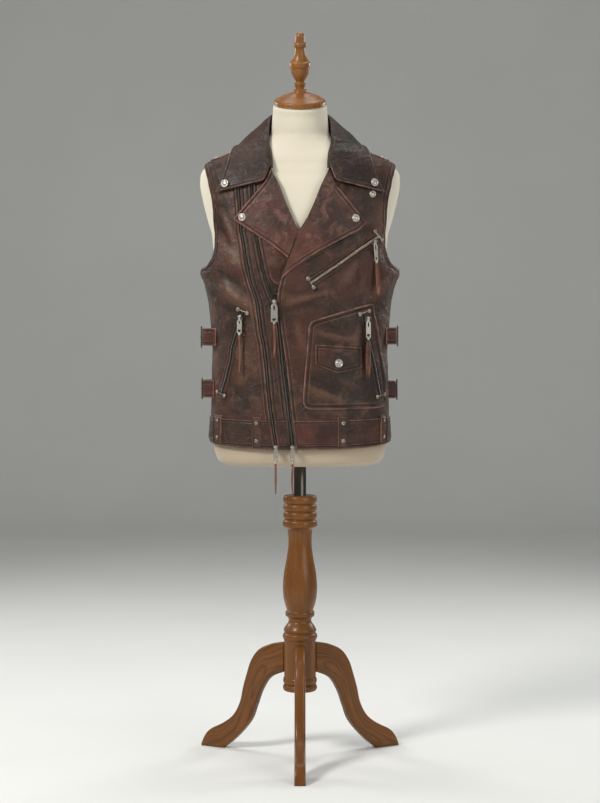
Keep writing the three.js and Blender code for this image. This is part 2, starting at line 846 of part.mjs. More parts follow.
// The collar's front end runs from the roll line down the gorge to the notch, then to the tip.
const COLLAR_END = table(`
  share  x      z
  0      61     1254
  0.25   75.5   1222
  0.5    106    1214.5
  0.75   138    1207.5
  1      171.5  1202
`);
const COLLAR_LIFT = 10.5;
function collar() {
  const half = COLLAR_ROWS.length - 1;
  const column = (names, side) => new THREE.CatmullRomCurve3(
    COLLAR_ROWS.map((row) => new THREE.Vector3(side * row[names[0]], row[names[1]], row[names[2]])));
  const endX = straight(COLLAR_END, 'share', 'x');
  const endZ = straight(COLLAR_END, 'share', 'z');
  const profile = (u, side) => {
    const roll = column(['rollX', 'rollY', 'rollZ'], side).getPoint(u);
    const edge = column(['edgeX', 'edgeY', 'edgeZ'], side).getPoint(u);
    const foot = column(['footX', 'footY', 'footZ'], side).getPoint(u);
    const end = ease(1 - 1 / half, 1, u);
    const fall = steps(0, 1, 4).slice(1).map((share) => {
      const bulge = 7 * Math.sin(Math.PI * share) * (1 - 0.5 * u);
      const point = roll.clone().lerp(edge, share);
      const front = onFront(side * endX(share), endZ(share), COLLAR_LIFT);
      point.lerp(front, end);
      const { out } = clearance(point);
      point.addScaledVector(out, bulge * (1 - end));
      return standOff(point, COLLAR_LIFT - 1.6 * ease(0.5, 0.9, u));
    });
    return [foot, foot.clone().lerp(roll, 0.6), roll, ...fall];
  };
  const stations = steps(0, 1, 13);
  const left = stations.slice(1).reverse().map((u) => profile(u, -1));
  const middle = [...left, ...stations.map((u) => profile(u, 1))];
  const count = middle[0].length;
  const offset = (shift) => middle.map((row, i) => row.map((point, j) => {
    const alongU = middle[Math.min(i + 1, middle.length - 1)][j].clone().sub(middle[Math.max(i - 1, 0)][j]);
    const alongW = row[Math.min(j + 1, count - 1)].clone().sub(row[Math.max(j - 1, 0)]);
    return point.clone().addScaledVector(alongU.cross(alongW).normalize(), shift);
  }));
  return wall(offset(HIDE / 2 + 0.1), offset(-HIDE / 2 - 0.1));
}
add('collar', collar(), 'leather');

// Shoulder straps: a band across each shoulder seam with two snaps
const SHOULDER_STRAP = { outerX: 187, innerX: 122, frontY: -24, backY: 24 };
function shoulderPoint(x, y, lift) {
  let low = 1200;
  let high = 1330;
  for (let i = 0; i < 24; i += 1) {
    const z = (low + high) / 2;
    const { distance } = clearance(new THREE.Vector3(x, y, z));
    if (distance > 0) high = z;
    else low = z;
  }
  const point = new THREE.Vector3(x, y, high);
  return point.addScaledVector(clearance(point).out, lift);
}

function onCloth(geometry, point, out) {
  const turn = new THREE.Quaternion().setFromUnitVectors(new THREE.Vector3(0, 0, 1), out);
  return geometry.applyQuaternion(turn).translate(point.x, point.y, point.z);
}

// A snap has a raised ring round a sunk middle; a rivet is a low cone
function snap(point, out, radius, height) {
  const rows = [
    { r: 0, z: 0 },
    { r: radius * 0.9, z: 0 },
    { r: radius, z: height * 0.45 },
    { r: radius * 0.72, z: height },
    { r: radius * 0.45, z: height * 0.62 },
    { r: 0, z: height * 0.8 },
  ];
  return onCloth(turned(rows, 10), point, out);
}

function rivet(point, out, radius, height) {
  const rows = [{ r: 0, z: 0 }, { r: radius, z: 0 }, { r: radius * 0.7, z: height }, { r: 0, z: height }];
  return onCloth(turned(rows, 6), point, out);
}

function shoulderStrap(side) {
  const { outerX, innerX, frontY, backY } = SHOULDER_STRAP;
  const across = steps(frontY, backY, 6);
  const grid = (lift) => steps(outerX, innerX, 4)
    .map((x) => across.map((y) => shoulderPoint(side * x, y, lift)));
  const band = wall(grid(PATCH_OUTER), grid(PATCH_INNER));
  const snaps = [174, 145].map((x) => {
    const point = shoulderPoint(side * x, -4, PATCH_OUTER - 0.6);
    return snap(point, clearance(point).out, 7, 3.2);
  });
  return join([band, ...snaps]);
}
add('shoulder_strap_left', shoulderStrap(-1), 'leather');
add('shoulder_strap_right', shoulderStrap(1), 'leather');

// Waist belt in four lengths, cut at the zips and the side seams
const BELT_GAP = ZIP_HALF + 2;
const BELT_HEIGHTS = [BELT_LOW, (BELT_LOW + BELT_TOP) / 2, BELT_TOP];
const belt = (from, to, columns) => piece(BELT_HEIGHTS, from, to, columns, PATCH_INNER, PATCH_OUTER);
const seamAngle = (side, front) => (z) => besideRidge(z, side, front);
add('belt_left', belt(seamAngle(-1, true), atX((z) => zipOuter(z) - BELT_GAP), 9), 'leather');
add('belt_strip', belt(atX((z) => zipOuter(z) + BELT_GAP), atX((z) => mainZip(z) - BELT_GAP), 2), 'leather');
add('belt_right', belt(atX((z) => frontEdge(z) + 1), seamAngle(1, true), 12), 'redLeather');
add('belt_back', belt(seamAngle(1, false), seamAngle(-1, false), 24), 'leather');

// Belt loops: they touch the body above and below the belt and pass over it
const LOOP_ROWS = table(`
  side  x      width
  1     -169   16
  1     -89    17
  1     88     21
  1     171    13
  -1    0      20
`);
const LOOP_NAMES = ['belt_loop_1', 'belt_loop_2', 'belt_loop_3', 'belt_loop_4', 'belt_loop_5'];
function beltLoop({ side, x, width }) {
  const front = side > 0;
  const heights = [BELT_LOW - 5, BELT_LOW - 1.6, BELT_LOW, BELT_TOP, BELT_TOP + 1.6, BELT_TOP + 5];
  const over = (z) => OVER_INNER - PATCH_INNER - 2.4 * ease(BELT_TOP + 0.5, BELT_TOP + 3, z)
    - 2.4 * ease(BELT_LOW - 0.5, BELT_LOW - 3, z);
  const edge = (shift) => (z) => angleAt(clampX(x + shift, z), z, front);
  const lift = (base) => (angle, z) => base + over(z);
  const strip = piece(heights, edge(-width / 2), edge(width / 2), 1, lift(PATCH_INNER), lift(PATCH_OUTER));
  const rivets = [BELT_TOP - 5, BELT_LOW + 9].map((z) => {
    const angle = angleAt(x, z, front);
    return rivet(onVest(angle, z, OVER_OUTER - 1), normalAt(VEST, angle, z), 4.4, 2.8);
  });
  return join([strip, ...rivets]);
}
LOOP_ROWS.forEach((row, i) => add(LOOP_NAMES[i], beltLoop(row), 'leather'));

// Side adjusters: a strap that bridges the side seam, with a buckle frame at its outermost point
const ADJUSTER_ROWS = table(`
  side  z     half  proud  anchor  seat
  -1    902   18.5  21     -54     3.6
  -1    792   18.5  19     -42     2.5
  1     904   18    19     -44     3.3
  1     790   18    17     -36     3
`);
const ADJUSTER_NAMES = ['side_strap_left_upper', 'side_strap_left_lower', 'side_strap_right_upper',
  'side_strap_right_lower'];
const BUCKLE_NAMES = ['buckle_left_upper', 'buckle_left_lower', 'buckle_right_upper', 'buckle_right_lower'];
const STRAP_BACK = 74;
function strapPath({ side, z, proud: standoff, anchor, seat }) {
  const ends = [anchor, STRAP_BACK].map((y) => {
    const front = y < 0;
    const depth = front ? VEST.front(z) : VEST.back(z);
    const share = Math.abs(y) / depth;
    const angle = Math.asin(share ** (VEST.square(z) / 2));
    const turn = side > 0 ? angle : Math.PI - angle;
    const at = front ? turn : -turn;
    const step = (front ? 1 : -1) * side * 0.08;
    return [onVest(at, z, seat), onVest(at - step, z, seat + 0.4)];
  });
  const reach = VEST.half(z) + standoff;
  const middle = [-22, 0, 22].map((y) => new THREE.Vector3(side * (reach - Math.abs(y) * 0.04), y, z));
  return [ends[0][0], ends[0][1], ...middle, ends[1][1], ends[1][0]];
}
function sideStrap(row) {
  const { side, half } = row;
  const line = new THREE.CatmullRomCurve3(strapPath(row), false, 'catmullrom', 0.3);
  const samples = steps(0, 1, 12).map((u) => ({ at: line.getPoint(u), along: line.getTangent(u) }));
  const grid = (shift) => [-half, half].map((rise) => samples.map(({ at, along }) => {
    const out = new THREE.Vector3(side * Math.abs(along.y), -side * along.x * Math.sign(along.y), 0);
    out.normalize();
    return at.clone().addScaledVector(out, shift).add(new THREE.Vector3(0, 0, rise));
  }));
  return wall(grid(2.2), grid(0));
}
function buckle({ side, z, half, proud: standoff }) {
  const height = 2 * half + 9;
  const frame = new THREE.Shape();
  const [wide, high] = [11, height / 2];
  frame.moveTo(-wide, -high).lineTo(wide, -high).lineTo(wide, high).lineTo(-wide, high);
  const hole = new THREE.Path();
  hole.moveTo(3 - wide, 3 - high).lineTo(3 - wide, high - 3);
  hole.lineTo(wide - 3, high - 3).lineTo(wide - 3, 3 - high);
  frame.holes.push(hole);
  const ring = new THREE.ExtrudeGeometry(frame, { depth: 2.4, bevelEnabled: false });
  const prong = new THREE.BoxGeometry(18, 2.4, 2).translate(0, 0, 1.3);
  const x = side * (VEST.half(z) + standoff + 3.6);
  return join([ring, prong]).rotateX(Math.PI / 2).rotateZ(side * Math.PI / 2).translate(x, 0, z);
}
ADJUSTER_ROWS.forEach((row, i) => {
  add(ADJUSTER_NAMES[i], sideStrap(row), 'redLeather');
  add(BUCKLE_NAMES[i], buckle(row), 'nickel');
});

// Patch pocket with its own flap
const POCKET_CORNERS = table(`
  x      z      r
  18.6   933    12
  150    973    8
  178    812    0
  182    755    26
  5      755    20
  6.2    784    0
`);
const FLAP_CORNERS = table(`
  x      z      r
  30.9   886    2
  123.5  880    2
  126    838    3
  77.5   826.5  0
  30.9   844    3
`);
const pocketLift = (base) => (angle, z) => base + 0.9 * ease(115, 155, onBody(VEST, angle, z).x);
const pocketPatch = patch(rounded(POCKET_CORNERS), 10, 4, pocketLift(PATCH_INNER), pocketLift(PATCH_OUTER));
add('pocket_patch', pocketPatch, 'leather');

// Snaps on the pocket flap, the collar tips and the lapel tips
const frontSnap = (x, z, lift) => snap(onFront(x, z, lift), normalAt(VEST, angleAt(x, z), z), 8.2, 3.6);
add('pocket_flap', join([
  patch(rounded(FLAP_CORNERS), 6, 2, OVER_INNER + 0.6, OVER_OUTER + 0.6),
  frontSnap(78, 847, OVER_OUTER - 0.2),
]), 'leather');
const SNAP_ROWS = table(`
  x      z       lift
  -151   1217    11.5
  150    1219    11
  -117   1148    8.2
  112.5  1146    8.6
`);
const SNAP_NAMES = ['snap_collar_left', 'snap_collar_right', 'snap_lapel_left', 'snap_lapel_right'];
SNAP_ROWS.forEach((row, i) => add(SNAP_NAMES[i], frontSnap(row.x, row.z, row.lift), 'nickel'));

// Zips: the chain lies in the slot between two panels, or on a panel; sliders and rivets are on it
const SLIDER = { half: 4.2, length: 13, rise: 5.6, lug: 3.6 };
const BARREL = { radius: 1.7, half: 2.9, off: 2.6 };
const PULLS = [];

// A level frame on the cloth: sideways, out and up
function cloth(x, z) {
  const out = normalAt(VEST, angleAt(x, z), z);
  const level = new THREE.Vector3(out.x, out.y, 0).normalize();
  return { out, level, sideways: new THREE.Vector3(0, 0, 1).cross(level) };
}

function sliderBody(x, z, base, pull, depth = 1) {
  const { level, sideways } = cloth(x, z);
  const foot = onFront(x, z, base);
  const up = new THREE.Vector3(0, 0, 1);
  const place = new THREE.Matrix4().makeBasis(sideways, up, level).setPosition(foot);
  const { half, length, rise, lug } = SLIDER;
  const body = new THREE.BoxGeometry(2 * half, length, rise).translate(0, 0, rise / 2 - 1);
  const stem = new THREE.BoxGeometry(4.4, length - 4, depth + 1).translate(0, 0, (1 - depth) / 2);
  const hinge = rise - 1 + BARREL.off;
  const cheeks = [-1, 1].map((side) => new THREE.BoxGeometry(1.5, 5, BARREL.off + 1.8 + 1)
    .translate(side * (BARREL.half + SEAM + 0.75), length / 2 - lug, rise - 2 + (BARREL.off + 2.8) / 2));
  const at = new THREE.Vector3(0, length / 2 - lug, hinge).applyMatrix4(place);
  PULLS.push({ name: pull, at, level, sideways });
  return [body, stem, ...cheeks].map((box) => box.applyMatrix4(place));
}

// A strip of chain along a line on the front
function chainStrip(points, base, half = ZIP_HALF - 0.7, rise = 2.4) {
  const rings = points.map((point, i) => {
    const ahead = points[Math.min(i + 1, points.length - 1)];
    const behind = points[Math.max(i - 1, 0)];
    const along = new THREE.Vector2(ahead.x - behind.x, ahead.y - behind.y).normalize();
    const corner = (across, lift) =>
      onFront(point.x + along.y * across, point.y - along.x * across, base + lift);
    return [corner(-half, 0), corner(0.7 - half, rise), corner(half - 0.7, rise), corner(half, 0)];
  });
  return chain(rings);
}

function rivetBar(a, b, lift) {
  const [start, end] = [new THREE.Vector2(...a), new THREE.Vector2(...b)];
  const bar = [start.clone().lerp(end, -0.12), end.clone().lerp(start, -0.12)];
  const strip = chainStrip(bar, lift, 2.8, 1.4);
  const rivets = [a, b].map(([x, z]) => {
    const out = normalAt(VEST, angleAt(x, z), z);
    return rivet(onFront(x, z, lift + 0.5), out, 4.8, 3);
  });
  return [strip, ...rivets];
}

function lineOf(line, low, high) {
  return within(low, high).map((z) => new THREE.Vector2(line(z), z));
}

function outerZip() {
  const strip = chainStrip(lineOf(zipOuter, HEM_Z, ZIP_TOP - 2), -0.4);
  return join([strip, ...sliderBody(zipOuter(HEM_Z + 3), HEM_Z + 3, 4.4, 'pull_hem_left', 3)]);
}
add('zip_outer', outerZip(), 'zipTape');

function mainZipChain() {
  const closed = lineOf(mainZip, HEM_Z, SLIDER_Z - 1);
  const open = lineOf(track, SLIDER_Z + 8, ZIP_TOP - 2);
  return join([
    chainStrip([...closed, ...open], -0.4),
    ...sliderBody(-52, SLIDER_Z, 3, 'pull_main'),
    ...sliderBody(mainZip(HEM_Z + 3), HEM_Z + 3, 4.4, 'pull_hem_right', 3),
  ]);
}
add('zip_main', mainZipChain(), 'zipTape');

function pocketZip(points, base, slider, pull, bars) {
  const curve = new THREE.SplineCurve(points.map(([x, z]) => new THREE.Vector2(x, z)));
  const strip = chainStrip(curve.getPoints(5), base);
  return join([
    strip,
    ...sliderBody(slider[0], slider[1], base + 1.6, pull),
    ...bars.flatMap(([a, b]) => rivetBar(a, b, base + 1)),
  ]);
}
add('zip_chest', pocketZip(
  [[22, 1012], [85, 1055], [162, 1111]], PATCH_INNER, [149, 1097], 'pull_chest',
  [[[16.5, 1021], [28, 1003.5]], [[157, 1121], [169, 1103]]],
), 'zipTape');
add('zip_hand_left', pocketZip(
  [[-116.5, 955], [-136, 895], [-144, 852], [-163, 784]], PATCH_INNER, [-120.5, 941], 'pull_hand_left',
  [[[-126, 959], [-107, 951]], [[-170, 787], [-155, 780]]],
), 'zipTape');
add('zip_hand_right', pocketZip(
  [[130, 952], [146, 870], [153, 835], [163.5, 780]], OVER_INNER, [134, 938], 'pull_hand_right',
  [[[121, 949], [139, 956]], [[156, 778], [171, 782]]],
), 'zipTape');

// Pulls: a slotted plate on a barrel, a bead below it and leather strands under the bead
const PULL_ROWS = table(`
  plate  width  strand  lean
  30     9.5    36      0
  43     14     68      0
  30     9.5    36      0
  42     9      56      6
  35     11     62      0
  41     11.5   64      0
`);
const PULL_ORDER = ['pull_hem_left', 'pull_main', 'pull_hem_right', 'pull_chest', 'pull_hand_left',
  'pull_hand_right'];
const STRANDS = { pull_chest: 2, pull_hand_right: 3 };
const BEAD = 2.9;

function pullPlate(plate, width) {
  const outline = new THREE.Shape();
  const narrow = BARREL.half - 0.4;
  outline.moveTo(-narrow, 0).lineTo(-narrow, -6).lineTo(-width / 2, -10).lineTo(-width / 2, -plate)
    .lineTo(width / 2, -plate).lineTo(width / 2, -10).lineTo(narrow, -6).lineTo(narrow, 0);
  const slot = new THREE.Path();
  const inset = width * 0.26;
  slot.moveTo(-inset, 3 - plate).lineTo(inset, 3 - plate).lineTo(inset, 8 - plate).lineTo(-inset, 8 - plate);
  outline.holes.push(slot);
  const sheet = new THREE.ExtrudeGeometry(outline, { depth: 1.6, bevelEnabled: false });
  sheet.translate(0, 0, -0.8);
  const barrel = new THREE.CylinderGeometry(BARREL.radius, BARREL.radius, 2 * BARREL.half, 6);
  barrel.rotateZ(Math.PI / 2);
  const bead = new THREE.SphereGeometry(BEAD, 6, 4).translate(0, -plate - BEAD + 0.8, 0);
  return join([sheet, barrel, bead]);
}

function strands(plate, length, count) {
  const top = -plate - 2 * BEAD + 0.5;
  const head = new THREE.CylinderGeometry(2.2, 2.6, 4, 6).translate(0, top - 2, 0);
  const cords = steps(0, count - 1, count - 1 || 1).slice(0, count).map((i) => {
    const spread = (i - (count - 1) / 2) * 2.9;
    const path = new THREE.CatmullRomCurve3([
      new THREE.Vector3(spread * 0.3, top - 2, 0),
      new THREE.Vector3(spread, top - 12, 0.2),
      new THREE.Vector3(spread + 1.2, top - length * 0.6, -0.3),
      new THREE.Vector3(spread - 0.6, top - length, 0),
    ]);
    const section = new THREE.Shape();
    section.moveTo(-1.2, -1.2).lineTo(1.2, -1.2).lineTo(1.2, 1.2).lineTo(-1.2, 1.2);
    return new THREE.ExtrudeGeometry(section, { steps: 6, extrudePath: path });
  });
  return join([head, ...cords]);
}

for (const { name, at, level, sideways } of PULLS) {
  const { plate, width, strand, lean } = PULL_ROWS[PULL_ORDER.indexOf(name)];
  const place = new THREE.Matrix4().makeBasis(sideways, new THREE.Vector3(0, 0, 1), level).setPosition(at)
    .multiply(new THREE.Matrix4().makeRotationX(-THREE.MathUtils.degToRad(lean)));
  add(name, pullPlate(plate, width).applyMatrix4(place), 'nickel');
  const thong = strands(plate, strand, STRANDS[name] ?? 1).applyMatrix4(place);
  add(name.replace('pull', 'thong'), thong, 'redLeather');
}

export default group;
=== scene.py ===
"""A leather biker vest on a dress form, built piece by piece over its packed solids.

Tables and shape functions work in millimetres, with the stand's axis at x = y = 0, +Z up and the
front facing -Y. The mesh makers turn them into metres in the frame of the packed part.
"""
import json
import math

import bpy
import numpy as np
from bpy.props import FloatProperty, FloatVectorProperty, PointerProperty
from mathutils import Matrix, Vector


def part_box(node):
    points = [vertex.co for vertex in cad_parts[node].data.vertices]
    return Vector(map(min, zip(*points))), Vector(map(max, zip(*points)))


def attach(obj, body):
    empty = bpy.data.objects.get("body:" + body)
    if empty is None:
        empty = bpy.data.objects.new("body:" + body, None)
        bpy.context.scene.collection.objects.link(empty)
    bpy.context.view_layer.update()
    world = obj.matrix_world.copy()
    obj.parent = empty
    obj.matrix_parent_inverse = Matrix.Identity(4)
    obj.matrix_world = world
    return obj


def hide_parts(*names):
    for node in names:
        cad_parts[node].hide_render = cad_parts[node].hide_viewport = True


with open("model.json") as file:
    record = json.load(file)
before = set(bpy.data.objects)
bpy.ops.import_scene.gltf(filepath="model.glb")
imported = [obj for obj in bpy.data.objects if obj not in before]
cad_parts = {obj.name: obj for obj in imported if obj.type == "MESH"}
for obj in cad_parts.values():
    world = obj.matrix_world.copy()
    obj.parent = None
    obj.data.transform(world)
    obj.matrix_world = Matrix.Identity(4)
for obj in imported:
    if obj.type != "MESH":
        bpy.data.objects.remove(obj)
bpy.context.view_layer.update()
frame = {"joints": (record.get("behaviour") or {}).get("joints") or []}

bl_info = {
    "name": "Leather vest on a dress form",
    "version": (1, 0, 0),
    "blender": (4, 5, 0),
    "location": "View3D > Sidebar > Vest",
    "description": "Builds a sleeveless leather vest with its zips, straps, form and stand",
    "category": "Object",
}

MM = 0.001
POLE_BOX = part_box("pole")
AXIS_Y = (POLE_BOX[0][1] + POLE_BOX[1][1]) / 2

# Sizes of the leather, with lifts over the inner face of the vest
SEAM = 0.3                     # clear gap between two panels
HIDE = 2.0                     # thickness of a panel
ON_PANEL = 2.1                 # lifts of both faces of a piece that lies on a panel
PATCH = 4.6
ON_PATCH = 4.7                 # and of a piece that lies on such a piece
OVER = 7.0
HEM_Z = 680
BELT_LOW = 687
BELT_TOP = 734
BINDING_WIDTH = 8
ZIP_HALF = 3.6
ZIP_TOP = 1238
BREAK_Z = 1118
SLIDER_Z = 972
NECK_Z = 1318
COLLAR_LIFT = 10.5
WELT = 6.5                     # from a turned edge to its row of sewing
LEFT_TOP = 1289                # tops of the pieces that end under the collar
STRIP_TOP = 1299
UNDERLAP_TOP = 1300
FOLD_LIGHT_SCALE = 3.5                    # fold height at which the painted highlight on ridges and painted shade in troughs come near full

# Sizes of the stand
POLE_RADIUS = 13.2
BORE_RADIUS = 13.6
FORM_BOTTOM = 631
OFF_SIDE = 0.003               # turn that keeps a ring's points off the side line
SOCKET_TOP = 700
LEG_THICK = 23
NECK_TILT = math.radians(17.5)
NECK_TOP = np.array([0, -28, 1390])
CAP_CENTRE = np.array([0, -28, 1389.9])


def table(text):
    """A header line of column names and lines of numbers, as one array for each column."""
    lines = [line.split() for line in text.strip().splitlines()]
    numbers = np.array(lines[1:], dtype=float)
    return {name: numbers[:, i] for i, name in enumerate(lines[0])}


def rows_of(columns):
    """The rows of a table, one dictionary each."""
    return [dict(zip(columns, row)) for row in zip(*columns.values())]


# Level sections: half width, depth in front and behind, centre, squareness, dip in front, tilt
FORM_ROWS = table("""
z half front back centre square dip tilt
631 156 90 98 0 2.5 0 0
634 166 97 106 0 2.5 0 0
642 175 103 112 0 2.5 0 0
671 183 108 116 0 2.4 0 0
760 179 105 113 0 2.4 0 0
870 170 97 97 0 2.4 0 0
960 176 107 98 0 2.4 0 0
1045 182 114 106 0 2.3 0 0
1117 186.5 113 109 0 2.3 0 0
1139 193 111 109 0 2.3 0 0
1165 200 107 108 0 2.3 0 0
1195 207 100 104 0 2.3 0 0
1225 212 91 98 0 2.3 0 0
1240 211.5 85 93 0 2.3 0 0
1252 207.5 82 89 0 2.3 0 0
1261 199.5 79 86 0 2.3 0 0
1268 188.5 77 84 -1 2.25 0 0
1278 163.5 73 79 -3 2.2 0 0
1290 131.5 66.5 72 -5 2.1 0 0
1303 96 59.5 62.5 -8 2 0 0
1316 74 54.5 56.5 -10 2 0 0
1330 63 52 52 -13 2 0 0.06
1345 60 52 51 -17 2 0 0.14
1373 57.5 51 50 -23 2 0 0.26
1388 56 51 50 -28 2 0 0.315
1390 54 49 48 -28 2 0 0.315
""")
VEST_ROWS = table("""
z half front back centre square dip
676 190 116 120 0 2.4 12.6
700 188.5 117 121 0 2.4 10
733 186.5 118 122 0 2.4 6
767 185.5 118.5 122 0 2.4 3
814 184.5 119 118 0 2.4 0
870 182.6 119.5 110 0 2.4 0
930 186.5 121 108 0 2.4 0
957 189 122 109 0 2.4 0
993 194 124 112 0 2.4 0
1021 201.6 125 114 0 2.35 0
1037 208 125 115 0 2.3 0
1050 206 125 116 0 2.3 0
1069 199 124.5 117 0 2.3 0
1094 194.5 123 117 0 2.3 0
1117 194 121 117 0 2.3 0
1139 199 119 117 0 2.3 0
1168 206 114.5 115 0 2.3 0
1197 213 108 111 0 2.3 0
1226 218 99 105 0 2.3 0
1243 217 92.5 99.5 0 2.3 0
1255 211.5 87.5 94.5 0 2.3 0
1265 199 83.5 90 0 2.3 0
1272 184 80.5 86.5 -1 2.25 0
1282 158 75.5 80.5 -3 2.2 0
1294 126 69.5 73.5 -5 2.1 0
1307 97 64 67 -8 2 0
1320 77 60 62 -10 2 0
1334 70 58 58 -13 2 0
""")

# Soft folds of the leather along lines: side 1 is the front and -1 the back
FOLD_DEPTH = 2.0
FOLDS = table("""
side x1 z1 x2 z2 width height
1 -159 1155 -137 1097 8 1.5
1 -162 1130 -145 1089 6 -1.1
1 -164 1098 -122 1044 15 1.9
1 -168 1040 -113 991 11 -1.9
1 -158 1002 -92 952 13 3.3
1 -166 966 -124 948 13 -1.7
1 -150 880 -98 846 13 1.2
1 -158 820 -110 760 12 -1.1
1 -24 987 34 996 7 -1.1
1 -27 967 58 994 9 1.9
1 -26 956 48 978 8 -1.5
1 -10 935 14 860 11 1.2
1 82 1008 116 1044 15 1.3
1 124 1036 120 1004 8 -1.1
1 186 1020 150 985 13 1.9
1 182 965 150 948 10 -1.2
1 176 1180 158 1060 11 1.7
1 40 911 114 893 9 1.9
1 28 929 98 909 9 -1.4
1 14 820 66 792 8 -1.6
1 18 797 86 768 10 1.7
1 82 812 122 796 9 1
1 120 920 112 868 9 1
1 20 752 90 744 10 1
1 -78 840 -52 760 8 0.9
1 -64 960 -58 880 8 0.9
-1 -130 1030 -50 965 26 3
-1 130 1020 50 950 26 3
-1 -60 1190 -20 1060 20 2
-1 70 1180 30 1080 18 2
-1 -150 930 -60 905 14 2
-1 140 925 70 890 14 1.8
-1 -110 860 -30 800 17 1.6
-1 90 850 20 790 17 1.6
-1 -160 1120 -135 1040 12 -1.6
-1 160 1120 140 1050 12 -1.6
""")


def smooth(x, y):
    """A cubic curve through points that never overshoots them."""
    width = np.diff(x)
    slope = np.diff(y) / width
    turning = slope[:-1] * slope[1:] <= 0
    total = np.where(turning, 1.0, slope[:-1] + slope[1:])
    inner = np.where(turning, 0.0, 2 * slope[:-1] * slope[1:] / total)
    tangent = np.concatenate([slope[:1], inner, slope[-1:]])

    def at(value):
        value = np.clip(value, x[0], x[-1])
        i = np.clip(np.searchsorted(x, value, side="right") - 1, 0, len(x) - 2)
        t = (value - x[i]) / width[i]
        cubic = 2 * t ** 3 - 3 * t ** 2
        rise = tangent[i] * (t ** 3 - 2 * t ** 2 + t) + tangent[i + 1] * (t ** 3 - t ** 2)
        return y[i] * (1 + cubic) - y[i + 1] * cubic + width[i] * rise

    return at


def ease(start, stop, value):
    """A soft step from 0 at one value to 1 at another."""
    t = np.clip((value - start) / (stop - start), 0, 1)
    return t * t * (3 - 2 * t)


def unit(vectors):
    """Vectors divided by their lengths."""
    return vectors / np.maximum(np.linalg.norm(vectors, axis=-1, keepdims=True), 1e-9)


LATTICE_SIZE = 128
LATTICE = np.random.default_rng(5).random((LATTICE_SIZE, LATTICE_SIZE))


def noise(x, y):
    """Smooth random heights from 0 to 1 over a lattice of unit cells."""
    i = np.floor(x).astype(int)
    j = np.floor(y).astype(int)
    u = x - i
    v = y - j
    u = u * u * (3 - 2 * u)
    v = v * v * (3 - 2 * v)
    left, right = i % LATTICE_SIZE, (i + 1) % LATTICE_SIZE
    near, far = j % LATTICE_SIZE, (j + 1) % LATTICE_SIZE
    low = LATTICE[left, near] * (1 - u) + LATTICE[right, near] * u
    high = LATTICE[left, far] * (1 - u) + LATTICE[right, far] * u
    return low * (1 - v) + high * v


class Body:
    """A body of level sections, each a superellipse that is deeper or flatter in front than behind."""

    def __init__(self, rows):
        for name in ("half", "front", "back", "centre", "square", "dip"):
            setattr(self, name, smooth(rows["z"], rows[name]))

    def point(self, angle, z):
        """The angle runs from +X at 0 through the front at a quarter turn; negative angles are behind."""
        power = 2 / self.square(z)
        across = np.cos(angle)
        along = np.sin(angle)
        x = self.half(z) * np.sign(across) * np.abs(across) ** power
        reach = np.abs(along) ** power
        y = self.centre(z) + np.where(along > 0, -self.front(z), self.back(z)) * reach
        dip = np.where(along > 0, self.dip(z) * reach ** 1.5, 0)
        return np.stack(np.broadcast_arrays(x, y, z - dip), axis=-1)

    def normal(self, angle, z):
        """Outwards, square to the steps of the surface round and up."""
        turn = self.point(angle + 0.02, z) - self.point(angle - 0.02, z)
        rise = self.point(angle, z + 1) - self.point(angle, z - 1)
        return -unit(np.cross(turn, rise))


FORM = Body(FORM_ROWS)
VEST = Body(VEST_ROWS)


def fold_height(x, z, front):
    """Each fold is a bell-shaped ridge or trough along its line, highest at the middle of the line."""
    height = np.zeros(np.broadcast(x, z).shape)
    for fold in rows_of(FOLDS):
        dx = fold["x2"] - fold["x1"]
        dz = fold["z2"] - fold["z1"]
        near = np.clip(((x - fold["x1"]) * dx + (z - fold["z1"]) * dz) / (dx ** 2 + dz ** 2), 0, 1)
        away = np.hypot(x - fold["x1"] - dx * near, z - fold["z1"] - dz * near)
        bell = np.exp(-(away / fold["width"]) ** 2) * (0.55 + 0.45 * np.sin(np.pi * near))
        height += np.where(front == (fold["side"] > 0), fold["height"] * bell, 0)
    return FOLD_DEPTH * height * ease(0, 22, VEST.half(z) - np.abs(x))


def crumple(x, z, front):
    """Broad uneven swells of under a millimetre with finer creases on them, as worn leather has."""
    shift = np.where(front, 0, 61)
    broad = noise(x / 52 + shift, z / 40 + 3) - 0.5
    ridge = 1 - np.abs(2 * noise(x / 21 + shift + 9 + z / 60, z / 15 + 31) - 1)
    fine = 1 - np.abs(2 * noise(x / 9 + shift + 70, z / 8 + x / 30 + 11) - 1)
    clear = 0.75 * ease(1225, 1260, z)
    return 1.5 * broad + 0.75 * ridge ** 3 + 0.22 * fine ** 3 + clear


def on_vest(angle, z, lift):
    """Points that stand off the vest's inner face, with the folds and creases of the leather."""
    place = VEST.point(angle, z)
    front = np.sin(angle) > 0
    height = fold_height(place[..., 0], z, front) + crumple(place[..., 0], z, front)
    return place + VEST.normal(angle, z) * np.asarray(lift + height)[..., None]


def angle_at(x, z, front=True):
    """The angle whose point of the section stands at x, by turning the superellipse's formula round."""
    share = np.clip(x / VEST.half(z), -1, 1)
    angle = np.arccos(np.sign(share) * np.abs(share) ** (VEST.square(z) / 2))
    return angle if front else -angle


def on_front(x, z, lift):
    """Points that stand off the front at (x, z)."""
    return on_vest(angle_at(x, z), z, lift)


def beside_ridge(z, side, front):
    """The angle that stands half a seam in front of or behind the side line."""
    depth = VEST.front(z) if front else VEST.back(z)
    turn = np.arcsin((SEAM / 2 / depth) ** (VEST.square(z) / 2))
    angle = turn if side > 0 else np.pi - turn
    return angle if front else -angle


